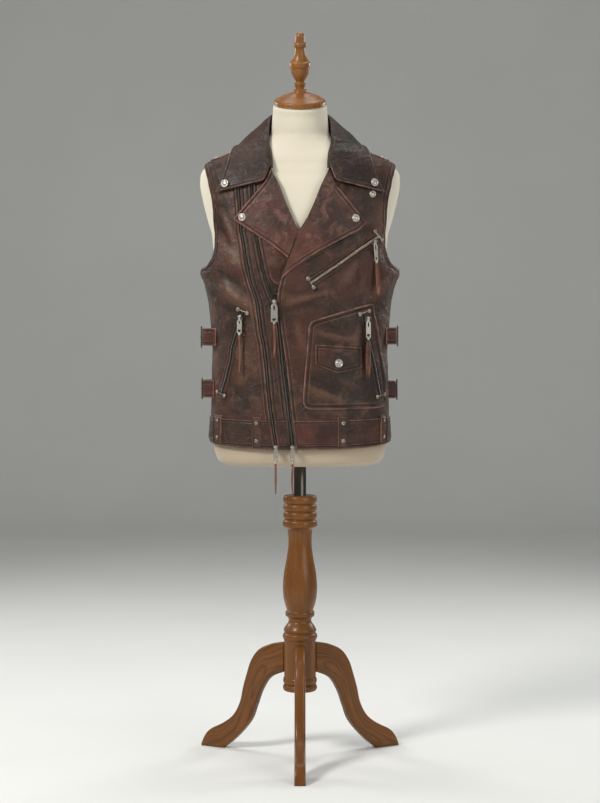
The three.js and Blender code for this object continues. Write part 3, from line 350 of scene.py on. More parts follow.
def clearance(points):
    """How far points stand off the vest's inner face, and the way out."""
    low = VEST_ROWS["z"][0]
    high = VEST_ROWS["z"][-1]

    def value(p):
        # 1 on the inner face, less inside and more outside
        z = np.clip(p[..., 2], low, high)
        depth = np.where(p[..., 1] < VEST.centre(z), VEST.front(z), VEST.back(z))
        power = VEST.square(z)
        across = np.abs(p[..., 0]) / VEST.half(z)
        return across ** power + (np.abs(p[..., 1] - VEST.centre(z)) / depth) ** power

    steps = np.eye(3) * 0.5
    slope = np.stack([value(points + step) - value(points - step) for step in steps], axis=-1)
    size = np.linalg.norm(slope, axis=-1)
    return (value(points) - 1) / size, slope / size[..., None]


def stand_off(points, lift):
    """Points moved out until they stand at least a lift off the vest's inner face."""
    for _ in range(4):
        distance, out = clearance(points)
        points = points + out * np.maximum(lift - distance, 0)[..., None]
    return points


def steps_of(points):
    """The distance from each point of a line to the next."""
    return np.linalg.norm(np.diff(points, axis=0), axis=1)


def travel(points):
    """The distance along a line from its start to each of its points."""
    return np.concatenate([[0], np.cumsum(steps_of(points))])


def tangents(points):
    """The direction of a line at each of its points, from the points beside it."""
    return unit(np.gradient(points, axis=0))


def rightward(tangent):
    """Directions in a plane, each turned a quarter clockwise."""
    return np.stack([tangent[:, 1], -tangent[:, 0]], axis=1)


def full_turn(count):
    """Equal steps of angle once round."""
    return np.linspace(0, 2 * np.pi, count, endpoint=False)


def resample(points, count):
    """Points at equal distances along a line."""
    length = travel(points)
    at = np.linspace(0, length[-1], count)
    return np.stack([np.interp(at, length, points[:, k]) for k in range(points.shape[1])], axis=1)


def curve(points, count, tension=0.5):
    """A smooth curve through points, evaluated at equal steps of its parameter."""
    points = np.asarray(points, dtype=float)
    before = np.vstack([2 * points[0] - points[1], points[:-1]])
    after = np.vstack([points[1:], 2 * points[-1] - points[-2]])
    tangent = tension * (after - before)
    u = np.linspace(0, len(points) - 1, count)
    i = np.clip(u.astype(int), 0, len(points) - 2)
    t = (u - i)[:, None]
    value = points[i] * (2 * t ** 3 - 3 * t ** 2 + 1) + points[i + 1] * (3 * t ** 2 - 2 * t ** 3)
    return value + tangent[i] * (t ** 3 - 2 * t ** 2 + t) + tangent[i + 1] * (t ** 3 - t ** 2)


def rounded(corners, samples=5):
    """An outline of corners (x, z, radius), each rounded by a quadratic curve."""
    outline = []
    for i, (x, z, radius) in enumerate(corners):
        corner = np.array([x, z], dtype=float)
        if not radius:
            outline.append(corner)
            continue
        before = unit(np.array(corners[i - 1][:2], dtype=float) - corner)
        after = unit(np.array(corners[(i + 1) % len(corners)][:2], dtype=float) - corner)
        for t in np.linspace(0, 1, samples):
            outline.append(corner + radius * ((1 - t) ** 2 * before + t ** 2 * after))
    return np.array(outline)


def rectangle(half, low, high, radius, samples=5):
    """A rectangle with round corners, as wide to both sides of x = 0."""
    corners = [(-half, low, radius), (half, low, radius), (half, high, radius), (-half, high, radius)]
    return rounded(corners, samples)


def value_at(height, *place):
    """A height that is given as one number or as a function of the place."""
    return height(*place) if callable(height) else height


# Meshes
def to_world(points):
    """Millimetres from the stand's axis as metres in the frame."""
    return (points + np.array([0, AXIS_Y / MM, 0])) * MM


def add_mesh(name, points, faces, material, **values):
    """A smooth mesh of points in millimetres, with a float attribute for each further argument."""
    mesh = bpy.data.meshes.new(name)
    mesh.from_pydata(to_world(np.asarray(points)).tolist(), [], [tuple(map(int, face)) for face in faces])
    mesh.polygons.foreach_set("use_smooth", np.ones(len(mesh.polygons), dtype=bool))
    for key, value in values.items():
        attribute = mesh.attributes.new(key, "FLOAT", "POINT")
        attribute.data.foreach_set("value", np.asarray(value, dtype=np.float32).ravel())
    mesh.materials.append(material)
    mesh.update()
    piece = bpy.data.objects.new(name, mesh)
    bpy.context.scene.collection.objects.link(piece)
    return piece


class Parts:
    """Loose shapes gathered into one mesh."""

    def __init__(self):
        self.points = []
        self.faces = []
        self.count = 0

    def add(self, points, faces):
        points = np.asarray(points, dtype=float).reshape(-1, 3)
        self.points.append(points)
        self.faces.extend([tuple(int(i) + self.count for i in face) for face in faces])
        self.count += len(points)

    def make(self, name, material, **values):
        return add_mesh(name, np.vstack(self.points), self.faces, material, **values)


def grid_faces(rows, columns, closed_rows=False, closed_columns=False):
    """The four-sided faces of a grid of points."""
    index = np.arange(rows * columns).reshape(rows, columns)
    if closed_rows:
        index = np.vstack([index, index[:1]])
    if closed_columns:
        index = np.hstack([index, index[:, :1]])
    corners = (index[:-1, :-1], index[:-1, 1:], index[1:, 1:], index[1:, :-1])
    return np.stack(corners, axis=-1).reshape(-1, 4)


def tube(rings, closed=False):
    """Rings of points joined one to the next, with a face at each end or closed to a loop."""
    rings = np.asarray(rings)
    count, sides = rings.shape[:2]
    faces = [tuple(face) for face in grid_faces(count, sides, closed_rows=closed, closed_columns=True)]
    if not closed:
        faces.append(tuple(range(sides - 1, -1, -1)))
        faces.append(tuple(range((count - 1) * sides, count * sides)))
    return rings.reshape(-1, 3), faces


def outward(points, faces):
    """The same faces, turned round if they enclose a negative volume."""
    points = np.asarray(points).reshape(-1, 3)
    volume = 0
    for face in faces:
        for k in range(1, len(face) - 1):
            a, b, c = points[face[0]], points[face[k]], points[face[k + 1]]
            volume += np.dot(a, np.cross(b, c))
    return points, faces if volume > 0 else [tuple(reversed(face)) for face in faces]


def lathe(profile, sides=40):
    """A profile of (radius, height) turned about the z axis, from the axis at one end to the other."""
    profile = np.asarray(profile, dtype=float)
    turn = full_turn(sides)
    radius = np.maximum(profile[:, :1], 1e-3)
    height = np.repeat(profile[:, 1:2], sides, axis=1)
    rings = np.stack([radius * np.cos(turn), radius * np.sin(turn), height], axis=-1)
    return outward(*tube(rings))


def placed(points, origin, sideways, up, out):
    """Points whose own x, y and z run sideways, up and out at a place."""
    points = np.asarray(points).reshape(-1, 3)
    return origin + points @ np.array([sideways, up, out])


BOX_RINGS = 12
BOX_SIDES = 20


def rounded_box(size, centre, power):
    """A box with soft edges: the radius of a sphere's point is set by a high power of its direction."""
    polar = np.linspace(0.001, np.pi - 0.001, BOX_RINGS)[:, None]
    turn = full_turn(BOX_SIDES)[None, :]
    way = np.stack(np.broadcast_arrays(np.sin(polar) * np.cos(turn), np.sin(polar) * np.sin(turn),
                                       np.cos(polar) + 0 * turn), axis=-1)
    reach = (np.abs(way) ** power).sum(axis=-1, keepdims=True) ** (-1 / power)
    return outward(*tube(way * reach * np.array(size) / 2 + np.array(centre)))


def along(points, profile, outs):
    """A section of (across, lift) points carried along a line whose outward directions are given."""
    points = np.asarray(points)
    tangent = tangents(points)
    outs = unit(outs)
    across = unit(np.cross(tangent, outs))
    section = np.asarray(profile, dtype=float)
    return points[:, None] + across[:, None] * section[None, :, :1] + outs[:, None] * section[None, :, 1:]


def grid_normals(grid):
    """The normals of a grid of points, square to its steps across and down."""
    down = np.gradient(grid, axis=0)
    over = np.gradient(grid, axis=1)
    return unit(np.cross(over, down))


class Cloth:
    """A thin leather shell: an upper and a lower grid of points, and each point's distance to a cut edge."""

    def __init__(self, upper, lower, edge):
        self.upper = upper
        self.lower = lower
        self.edge = edge
        normals = grid_normals(upper)
        facing = np.sum(normals * (upper - lower), axis=-1).mean()
        self.normals = normals if facing > 0 else -normals
        self.flip = facing < 0

    def make(self, name, material):
        """Both faces and the wall between them as one closed mesh."""
        rows, columns = self.upper.shape[:2]
        count = rows * columns
        top = grid_faces(rows, columns)
        index = np.arange(count).reshape(rows, columns)
        ring = np.concatenate([index[0, :-1], index[:-1, -1], index[-1, :0:-1], index[:0:-1, 0]])
        after = np.roll(ring, -1)
        wall = np.stack([after, ring, ring + count, after + count], axis=-1)
        faces = np.vstack([top, top[:, ::-1] + count, wall])
        if self.flip:
            faces = faces[:, ::-1]
        points = np.vstack([self.upper.reshape(-1, 3), self.lower.reshape(-1, 3)])
        edge = np.concatenate([self.edge.ravel(), self.edge.ravel()])
        # painted light: the fold height, which the leather paints as a highlight on ridges and as shade in
        # troughs
        swell = np.tanh(fold_height(points[:, 0], points[:, 2], points[:, 1] < 0) / FOLD_LIGHT_SCALE)
        return add_mesh(name, points, faces, material, edge=edge, swell=swell)

    def line(self, side, distance):
        """Points and outward directions on the upper face at a distance from one side."""
        grid, normals = self.upper, self.normals
        if side in ("low", "high"):
            grid, normals = grid.transpose(1, 0, 2), normals.transpose(1, 0, 2)
        if side in ("right", "high"):
            grid, normals = grid[:, ::-1], normals[:, ::-1]
        steps = np.linalg.norm(np.diff(grid, axis=1), axis=2)
        length = np.hstack([np.zeros((len(grid), 1)), np.cumsum(steps, axis=1)])
        i = np.argmax(length >= distance, axis=1).clip(1)
        row = np.arange(len(grid))
        t = ((distance - length[row, i - 1]) / (length[row, i] - length[row, i - 1]))[:, None]
        t = np.clip(t, 0, 1)
        points = grid[row, i - 1] * (1 - t) + grid[row, i] * t
        outs = normals[row, i - 1] * (1 - t) + normals[row, i] * t
        return points, outs

    def flat(self):
        """The width, length and area that the piece was cut to, in metres."""
        width = np.linalg.norm(np.diff(self.upper, axis=1), axis=2).sum(axis=1).max() * MM
        length = np.linalg.norm(np.diff(self.upper, axis=0), axis=2).sum(axis=0).max() * MM
        over = np.diff(self.upper, axis=1)[:-1]
        down = np.diff(self.upper, axis=0)[:, :-1]
        area = np.linalg.norm(np.cross(over, down), axis=2).sum() * MM * MM
        return width, length, min(area, width * length)


def edge_rise(edge, roll=1.5, floor=0.35):
    """A cut edge is rounded: its height climbs by a quarter circle within the roll."""
    t = np.clip(edge / roll, 0, 1)
    return floor + (1 - floor) * np.sqrt(1 - (1 - t) ** 2)


def sewn(edge, rows=(WELT,), z=0.0):
    """A row of sewing draws a groove into the leather, and the edge outside it stands up as a soft roll."""
    height = 0.0
    for row in rows:
        height = height - 0.85 * np.exp(-((edge - row) / 1.2) ** 2)
    pucker = 0.4 * (noise(z / 5.5, edge / 9) - 0.5) * np.exp(-(edge / 12) ** 2)
    return height + 0.75 * np.sin(np.pi * np.clip(edge / rows[0], 0, 1)) + pucker


EDGE_STATIONS = np.array([0, 0.35, 0.9, 1.7, 3, 4.3, 5.4, 6.1, 6.8, 7.6, 9])


def stations(length, middle):
    """Distances across a length, close together near both ends."""
    scale = min(1.0, 0.46 * length / EDGE_STATIONS[-1])
    near = EDGE_STATIONS * scale
    inner = np.linspace(near[-1], length - near[-1], middle + 2)[1:-1]
    return np.concatenate([near, inner, length - near[::-1]])


def beneath_belt(z):
    """1 where the belt covers a panel, whose own relief is pressed flat there."""
    return ease(BELT_LOW - 5, BELT_LOW, z) * ease(BELT_TOP + 5, BELT_TOP, z)


TRACE_POINTS = 120


def band(heights, start, stop, step, lower, upper, row=WELT, pressed=None):
    """A leather piece between two edges, each an angle for every height. Its rows are level, its columns are
    spaced by distance along the leather, and all its sides are cut edges."""
    widths = []
    traced = []
    for z in heights:
        angles = np.linspace(start(z), stop(z), TRACE_POINTS)
        length = travel(VEST.point(angles, z))
        traced.append((angles, length))
        widths.append(length[-1])
    middle = max(2, int(max(widths) / step))
    distance = np.array([stations(width, middle) for width in widths])
    angle = np.array([np.interp(d, length, angles) for d, (angles, length) in zip(distance, traced)])
    z = np.repeat(np.asarray(heights, dtype=float)[:, None], angle.shape[1], axis=1)
    edge = np.minimum(distance, np.array(widths)[:, None] - distance)
    edge = np.minimum(edge, np.minimum(z - heights[0], heights[-1] - z))
    under = value_at(lower, angle, z)
    thick = value_at(upper, angle, z) - under
    relief = sewn(edge, (row,), z + 2 * VEST.point(angle, z)[..., 0]) * np.clip(edge / 2, 0, 1)
    if pressed:
        relief = relief * (1 - pressed(z))
    top = under + thick * edge_rise(edge) + relief
    return Cloth(on_vest(angle, z, top), on_vest(angle, z, under + 0 * z), edge * WELT / row)


def polygon_distance(x, z, outline):
    """The distance from points to the nearest side of an outline."""
    best = np.full(x.shape, 1e9)
    for (ax, az), (bx, bz) in zip(outline, np.roll(outline, -1, axis=0)):
        dx, dz = bx - ax, bz - az
        t = np.clip(((x - ax) * dx + (z - az) * dz) / max(dx * dx + dz * dz, 1e-9), 0, 1)
        best = np.minimum(best, np.hypot(x - ax - t * dx, z - az - t * dz))
    return best


def coons(sides, across, upward):
    """A grid inside four lines (left and right run upward, bottom and top run across), by blending them."""
    left, right, bottom, top = sides
    width = steps_of(bottom).sum()
    height = steps_of(left).sum()
    u = stations(max(width, 40), across)
    u = u / u[-1]
    v = stations(max(height, 40), upward)
    v = v / v[-1]

    def sample(line, at):
        length = travel(line)
        length = length / length[-1]
        return np.stack([np.interp(at, length, line[:, k]) for k in (0, 1)], axis=1)

    left, right = sample(left, v)[:, None], sample(right, v)[:, None]
    bottom, top = sample(bottom, u)[None], sample(top, u)[None]
    u = u[None, :, None]
    v = v[:, None, None]
    corners = ((1 - u) * (1 - v) * bottom[:, :1] + u * (1 - v) * bottom[:, -1:]
               + (1 - u) * v * top[:, :1] + u * v * top[:, -1:])
    return (1 - u) * left + u * right + (1 - v) * bottom + v * top - corners


def split(outline, corners):
    """The four sides of a closed outline, cut at its points nearest to four corners: bottom left, bottom
    right, top right and top left. The outline runs anticlockwise from the bottom left."""
    at = [int(np.argmin(np.hypot(*(outline - corner).T))) for corner in corners]
    count = len(outline)

    def run(a, b):
        # from one corner on to the next
        return outline[[(a + k) % count for k in range((b - a) % count + 1)]]

    bottom, right, top, left = (run(at[k], at[(k + 1) % 4]) for k in range(4))
    return left[::-1], right, bottom, top[::-1]


def anticlockwise(outline):
    """The outline, turned round if it encloses a negative area."""
    x, z = outline.T
    area = np.sum(x * np.roll(z, -1) - np.roll(x, -1) * z)
    return outline if area > 0 else outline[::-1]


def patch(outline, corners, across, upward, lower, upper, rows=(WELT,), free=None):
    """A leather piece cut to an outline seen from the front and laid on what is below it. Where only a part
    of the outline is a free edge, that part is given as well."""
    outline = anticlockwise(np.asarray(outline, dtype=float))
    grid = coons(split(outline, np.asarray(corners, dtype=float)), across, upward)
    x, z = grid[..., 0], grid[..., 1]
    edge = polygon_distance(x, z, outline if free is None else np.vstack([free, free[::-1]]))
    under = value_at(lower, x, z)
    thick = value_at(upper, x, z) - under
    top = under + thick * edge_rise(edge) + sewn(edge, rows, x + z) * np.clip(edge / 2, 0, 1)
    angle = angle_at(x, z)
    return Cloth(on_vest(angle, z, top), on_vest(angle, z, under + 0 * z), edge * WELT / rows[0])


# Materials
class Shader:
    """A material whose nodes are added one call at a time. An input is a value or another node's output."""

    def __init__(self, name):
        self.material = bpy.data.materials.new(name)
        self.material.use_nodes = True
        self.tree = self.material.node_tree
        self.surface = self.tree.nodes["Principled BSDF"]
        self.coords = self.node("ShaderNodeTexCoord").outputs["Object"]

    def node(self, kind, inputs=None, **settings):
        node = self.tree.nodes.new(kind)
        for key, value in settings.items():
            setattr(node, key, value)
        for key, value in (inputs or {}).items():
            self.give(node.inputs[key], value)
        return node

    def give(self, socket, value):
        if isinstance(value, bpy.types.NodeSocket):
            self.tree.links.new(value, socket)
        else:
            socket.default_value = value

    def set(self, **values):
        for key, value in values.items():
            self.give(self.surface.inputs[key.replace("_", " ")], value)

    def noise(self, scale, detail=3, vector=None, rough=0.55, distortion=0.0):
        inputs = {"Vector": vector or self.coords, "Scale": scale, "Detail": detail, "Roughness": rough,
                  "Distortion": distortion}
        return self.node("ShaderNodeTexNoise", inputs).outputs["Fac"]

    def cells(self, scale, feature="F1"):
        inputs = {"Vector": self.coords, "Scale": scale}
        return self.node("ShaderNodeTexVoronoi", inputs, feature=feature).outputs["Distance"]

    def waves(self, scale, direction, distortion):
        inputs = {"Vector": self.coords, "Scale": scale, "Distortion": distortion}
        node = self.node("ShaderNodeTexWave", inputs, wave_type="BANDS", bands_direction=direction)
        return node.outputs["Fac"]

    def stretched(self, vector, scale):
        return self.node("ShaderNodeMapping", {"Vector": vector, "Scale": scale}).outputs["Vector"]

    def apart(self, vector):
        return self.node("ShaderNodeSeparateXYZ", {"Vector": vector}).outputs

    def ramp(self, value, low, high, to_low=0.0, to_high=1.0):
        inputs = {"Value": value, "From Min": low, "From Max": high, "To Min": to_low, "To Max": to_high}
        return self.node("ShaderNodeMapRange", inputs, interpolation_type="SMOOTHSTEP").outputs["Result"]

    def math(self, operation, a, b=0.0):
        return self.node("ShaderNodeMath", {0: a, 1: b}, operation=operation).outputs[0]

    def mix(self, factor, a, b):
        node = self.node("ShaderNodeMix", data_type="RGBA")
        self.give(node.inputs["Factor"], factor)
        self.give(node.inputs[6], a if isinstance(a, bpy.types.NodeSocket) else (*a, 1))
        self.give(node.inputs[7], b if isinstance(b, bpy.types.NodeSocket) else (*b, 1))
        return node.outputs[2]

    def attribute(self, name, output="Fac"):
        return self.node("ShaderNodeAttribute", attribute_name=name).outputs[output]

    def bump(self, height, distance, strength, normal=None):
        inputs = {"Height": height, "Distance": distance, "Strength": strength}
        if normal is not None:
            inputs["Normal"] = normal
        return self.node("ShaderNodeBump", inputs).outputs["Normal"]


WORN_TINT = (0.125, 0.066, 0.058)


def times(tone, *shares):
    """One colour multiplied by each share."""
    return [tuple(np.array(tone) * share) for share in shares]


def leather(name, tone, wear=0.8):
    """Waxed leather: mottled in three tones with ruddy areas, rubbed on its swells, worn pale at cut edges,
    dark along sewing, with a pebbled grain, small pores and creases in its relief."""
    dark, middle, light = times(tone, 0.36, 1.0, 2.1)
    worn = tuple(np.array(tone) * 2.7 + WORN_TINT)
    ruddy = (middle[0] * 1.3, middle[1] * 0.8, middle[2] * 0.7)
    s = Shader(name)
    cloud = s.noise(9, 5, rough=0.62)
    patches = s.noise(28, 4, rough=0.6, distortion=0.8)
    scuff = s.noise(120, 6, rough=0.75)
    tone = s.mix(s.ramp(cloud, 0.4, 0.58), dark, middle)
    tone = s.mix(s.ramp(s.noise(5.5, 3), 0.46, 0.62, 0, 0.6), tone, ruddy)
    tone = s.mix(s.ramp(patches, 0.5, 0.72, 0, 0.7), tone, light)
    tone = s.mix(s.ramp(scuff, 0.56, 0.74, 0, 0.5), tone, light)
    veins = s.ramp(s.cells(130, "DISTANCE_TO_EDGE"), 0.0, 0.06, 0.45, 0)
    tone = s.mix(veins, tone, dark)
    # painted highlight on fold ridges (with the scuff noise) and painted shade in fold troughs
    swell = s.attribute("swell")
    high = s.math("ADD", swell, s.math("MULTIPLY", scuff, 0.5))
    tone = s.mix(s.ramp(high, 0.35, 1.05, 0, 0.6), tone, light)
    tone = s.mix(s.ramp(swell, -0.05, -0.75, 0, 0.65), tone, dark)
    edge = s.attribute("edge")
    rim = s.ramp(edge, 0.9, 2.9, 1, 0)
    seam = s.ramp(s.math("ABSOLUTE", s.math("SUBTRACT", edge, WELT + 2.2)), 0.3, 1.5, 0.35, 0)
    # painted shade in the groove just inside each row of sewing
    groove = s.ramp(s.math("ABSOLUTE", s.math("SUBTRACT", edge, WELT - 0.5)), 0.6, 2.0, 0.8, 0)
    rubbed = s.ramp(s.noise(38, 5, rough=0.75), 0.38, 0.6, 0.22, 1)
    wear_here = s.math("MULTIPLY", s.math("MAXIMUM", rim, seam), s.math("MULTIPLY", rubbed, wear))
    tone = s.mix(groove, tone, *times(dark, 0.6))
    tone = s.mix(wear_here, tone, worn)
    gloss = s.ramp(s.noise(48, 4), 0.3, 0.7, 0.38, 0.58)
    grain = s.cells(720)
    pores = s.noise(1500, 2)
    creases = s.noise(150, 5, rough=0.65, distortion=0.8)
    wrinkles = s.noise(42, 4, rough=0.6, distortion=1.2)
    normal = s.bump(wrinkles, 0.006, 0.55)
    normal = s.bump(creases, 0.0016, 0.8, normal)
    normal = s.bump(grain, 0.00022, 0.5, normal)
    normal = s.bump(pores, 0.0001, 0.4, normal)
    gloss = s.math("SUBTRACT", gloss, s.ramp(swell, 0.1, 0.8, 0, 0.1))
    s.set(Base_Color=tone, Roughness=gloss, Normal=normal)
    s.set(Specular_IOR_Level=0.32, Coat_Weight=0.04, Coat_Roughness=0.35)
    return s.material


def wood(name, dark, middle, light):
    """Lacquered oak: growth rings about an axis beside the piece, with fine pores along the grain, both
    in the piece's own grain coordinates."""
    s = Shader(name)
    grain = s.attribute("grain", "Vector")
    stretch = s.stretched(grain, (1.6, 26, 26))
    wander = s.noise(2.2, 3, stretch)
    parts = s.apart(grain)
    y = s.math("ADD", parts["Y"], 0.021)
    z = s.math("ADD", parts["Z"], 0.012)
    distance = s.math("SQRT", s.math("ADD", s.math("MULTIPLY", y, y), s.math("MULTIPLY", z, z)))
    swing = s.math("MULTIPLY", s.noise(5, 2, grain), 0.02)
    ring = s.math("ADD", s.math("ADD", distance, swing), s.math("MULTIPLY", wander, 0.004))
    wave = s.math("FRACT", s.math("MULTIPLY", ring, 330))
    late = s.math("MULTIPLY", s.ramp(wave, 0.35, 0.95), s.ramp(wave, 1.0, 0.95))
    pores = s.noise(1.0, 3, s.stretched(grain, (9, 420, 420)))
    tone = s.mix(late, light, middle)
    tone = s.mix(s.ramp(s.noise(1.4, 3, stretch), 0.35, 0.68, 0, 0.4), tone, dark)
    tone = s.mix(s.ramp(pores, 0.56, 0.72, 0, 0.6), tone, dark)
    s.set(Base_Color=tone, Roughness=s.ramp(pores, 0.3, 0.7, 0.34, 0.46), Specular_IOR_Level=0.26)
    s.set(Normal=s.bump(pores, 0.0002, 0.35), Coat_Weight=0.2, Coat_Roughness=0.2)
    return s.material


def metal(name, bright, tarnish, rough, spots=0.6):
    """Metal with spots of tarnish, which are also rougher, and fine scratches in its relief."""
    s = Shader(name)
    age = s.noise(600, 4, rough=0.65)
    tone = s.mix(s.ramp(age, 0.42, 0.66, 0, spots), bright, tarnish)
    scratch = s.noise(1900, 2)
    s.set(Base_Color=tone, Roughness=s.ramp(age, 0.3, 0.7, rough, rough + 0.16))
    s.set(Metallic=1.0, Normal=s.bump(scratch, 0.00003, 0.5))
    return s.material


def knit(name, bright, shade):
    """Tight jersey: rows of small loops in the relief, with an uneven tone and a darker hem."""
    s = Shader(name)
    loops = s.math("MULTIPLY", s.waves(520, "Z", 1.2), s.waves(430, "X", 1.2))
    tone = s.mix(s.ramp(s.noise(14, 4), 0.35, 0.7, 0, 0.5), bright, shade)
    height = s.apart(s.coords)["Z"]
    # painted shade: darker towards the bottom of the form, below the vest
    tone = s.mix(s.ramp(height, 0.67, 0.72, 0.8, 0), tone, (0.38, 0.29, 0.2))
    # painted shadow: a darker band just under the vest's hem; the next mix brings back the bright tone
    # higher up, where the vest covers the form
    tone = s.mix(s.ramp(height, 0.652, 0.673, 0, 0.5), tone, (0.27, 0.2, 0.13))
    tone = s.mix(s.ramp(height, 0.69, 0.72), tone, bright)
    # painted shade in the low places between the knit's loops
    tone = s.mix(s.ramp(loops, 0.0, 0.5, 0.12, 0), tone, shade)
    s.set(Base_Color=tone, Roughness=s.ramp(s.noise(70, 2), 0.3, 0.7, 0.82, 0.94))
    s.set(Normal=s.bump(loops, 0.00012, 0.5), Sheen_Weight=0.15, Specular_IOR_Level=0.25)
    return s.material


def tape(name, bright, shade):
    """Woven zip tape: short ribs across a dark cloth."""
    s = Shader(name)
    ribs = s.waves(700, "DIAGONAL", 0.6)
    tone = s.mix(s.ramp(ribs, 0.2, 0.8, 0, 0.6), bright, shade)
    s.set(Base_Color=tone, Roughness=s.ramp(s.noise(90, 2), 0.3, 0.7, 0.75, 0.92))
    s.set(Normal=s.bump(ribs, 0.0002, 0.6))
    return s.material


def thread(name, bright, shade):
    """Waxed thread: a fine noise for its twist, in tone and in relief."""
    s = Shader(name)
    twist = s.noise(900, 2)
    s.set(Base_Color=s.mix(s.ramp(twist, 0.4, 0.6), bright, shade), Normal=s.bump(twist, 0.0001, 0.6))
    s.set(Roughness=s.ramp(twist, 0.3, 0.7, 0.6, 0.8))
    return s.material


def plain(name, tone, second):
    """A matt surface between two near tones."""
    s = Shader(name)
    s.set(Base_Color=s.mix(s.ramp(s.noise(2, 2), 0.3, 0.7), tone, second), Roughness=0.9)
    return s.material


MATERIALS = {}


def make_materials(settings):
    """Each material is a look with its tones, some of them shares of a colour in the settings."""
    MATERIALS.update(
        leather=leather("Worn brown leather", settings.leather),
        dark=leather("Dark brown leather", *times(settings.leather, 0.66)),
        lapel=leather("Rubbed mauve leather", settings.lapel),
        red=leather("Worn reddish leather", settings.trim),
        thong=leather("Pale leather strips", *times(settings.leather, 2.9)),
        thread=thread("Brown thread", (0.07, 0.04, 0.03), (0.03, 0.016, 0.012)),
        tape=tape("Zip tape", (0.012, 0.0095, 0.009), (0.005, 0.004, 0.004)),
        teeth=metal("Brass zip teeth", (0.4, 0.33, 0.26), (0.14, 0.105, 0.08), 0.34),
        dark_teeth=metal("Blackened zip teeth", (0.13, 0.118, 0.105), (0.045, 0.04, 0.036), 0.38),
        aged=metal("Aged nickel", (0.32, 0.29, 0.25), (0.08, 0.065, 0.052), 0.36),
        nickel=metal("Antique nickel", (0.46, 0.44, 0.4), (0.28, 0.255, 0.22), 0.37, 0.5),
        # painted reflection: the chrome's base tone is far darker than chrome's, so its middle looks as if
        # it mirrored dark surroundings
        chrome=metal("Chrome with painted dark reflection", (0.1, 0.094, 0.08), (0.07, 0.065, 0.055), 0.24, 0.3),
        knit=knit("Cream jersey", settings.form, (0.62, 0.56, 0.45)),
        wood=wood("Brown oak", *times(settings.oak, 0.48, 1.0, 1.55)),
        honey=wood("Honey oak", *times(settings.cap, 0.55, 1.0, 1.5)),
        floor=plain("Studio floor", (0.78, 0.79, 0.77), (0.76, 0.77, 0.75)),
    )


# Handing pieces to the frame
STITCH_LINES = []
LEATHER_SLOT = {"leather": "leather", "dark": "leather", "lapel": "leather", "red": "leather_red"}


def fit(piece, body, slot, *nodes):
    """Tells the frame a piece's body, its slot and the solids that it takes the place of."""
    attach(piece, body)
    if nodes:
        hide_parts(*nodes)
    return piece


def fit_cloth(name, cloth, look, node=None):
    """Makes a leather piece, and declares the size that it was cut to."""
    piece = fit(cloth.make(name, MATERIALS[look]), "figure", LEATHER_SLOT[look], *([node] if node else []))
    width, length, area = cloth.flat()
    return piece


def sew(cloth, *sides, distance=WELT, trim=0.0):
    """Marks a row of sewing along sides of a piece; trim leaves out its ends, as a share."""
    for side in sides:
        points, outs = cloth.line(side, distance)
        cut = int(len(points) * trim) + 1
        STITCH_LINES.append((points[cut:-cut], outs[cut:-cut]))


def sew_front(line, lift):
    """Marks a row of sewing along a line of (x, z) seen from the front."""
    x, z = np.asarray(line, dtype=float).T
    angle = angle_at(x, z)
    STITCH_LINES.append((on_vest(angle, z, value_at(lift, x, z)), VEST.normal(angle, z)))


# Stand and form
# Radius and height, from the foot of the cap up and from the top of the column down
FINIAL_PROFILE = table("""
r z
0 0.4
52.5 0.4
54.6 3
54.6 8
52 11.5
47.5 13.6
45.5 14.4
36 20
33.5 20.4
22 24.6
16.5 26.4
15 28.5
14.6 31
10.8 34
10.5 37
11.2 41
12.2 42.5
12.2 44.5
10.4 46
9 48
9.6 51
14 58
18.5 68
20.4 78
20.6 80
22.4 81
22.4 88.6
21 90.4
18.4 92
15 98
12.5 105
10.6 114
10.5 119.5
12.9 121.5
14 124.5
14 127
12.9 129.8
10.2 131
9.8 136
9.4 143
7.6 148
4.4 150.8
0 151.5
""")
COLUMN_PROFILE = table("""
r z
33 564
35.2 561
36.2 555
35.2 549
32.4 546
35.2 543
36.2 538
35.2 532.5
32.4 530
35.2 527
36.2 521
35.2 515.5
32.4 513
36.2 509.5
37.2 503
36.2 497.5
27.5 492.5
26.4 488
25 472
25.2 453
29.4 425
34.5 397
36.9 368
35.5 345
32 330
28.2 319
28.2 317
30.6 315
31.2 310
30.6 305.5
26 302
24.4 297
25 292
30.5 284.5
34.6 277
34.8 273
33 270.5
33.2 269
36.2 266.5
37.2 262
36.2 257.5
34.2 254
33.9 250
33.9 178
34.4 173.5
35.8 171
36.2 166
35.2 161.5
32.5 159
35.2 157
36.8 152
35.4 147
33 145
""")
COLUMN_TOP = 564
COLUMN_FOOT = 145
BORE_BOTTOM = 296
POLE_BOTTOM = 340
POLE_TOP = 699
# Upper and lower line of a leg: distance from the axis, and height
LEG_UPPER = table("""
r z
34.3 247
72 239
100 225
119 200
130 170
139 141
147 107
164 77
189 57
223 39
238 23
246 4
246 0
""")
LEG_LOWER = table("""
r z
34.3 183
72 166
94 136
108 101
122 67
150 33
180 3
186 0
246 0
""")
LEG_TURNS = {"leg_front": -90, "leg_right": 30, "leg_left": 150}
LEG_STEPS = 90
LEG_SQUARENESS = 0.36


def soft_profile(rows, samples=4):
    """A turned profile with its corners slightly rounded, as a tool leaves them."""
    points = np.stack([rows["r"], rows["z"]], axis=1)
    line = curve(points, (len(points) - 1) * samples + 1, tension=0.3)
    line[:, 0] = np.maximum(line[:, 0], 0)
    return line


def leg_line(rows):
    """A smooth line above the floor, with its points at equal distances."""
    line = curve(np.stack([rows["r"], rows["z"]], axis=1), 200)
    line[:, 1] = np.maximum(line[:, 1], 0)
    return resample(line, LEG_STEPS)


def signed_power(values, power):
    """A power of the size of each value, with the value's sign."""
    return np.sign(values) * np.abs(values) ** power


def add_grain(piece, grain):
    """Gives each point its place in the grain of the wood."""
    attribute = piece.data.attributes.new("grain", "FLOAT_VECTOR", "POINT")
    attribute.data.foreach_set("vector", (np.asarray(grain) * MM).astype(np.float32).ravel())
    return piece


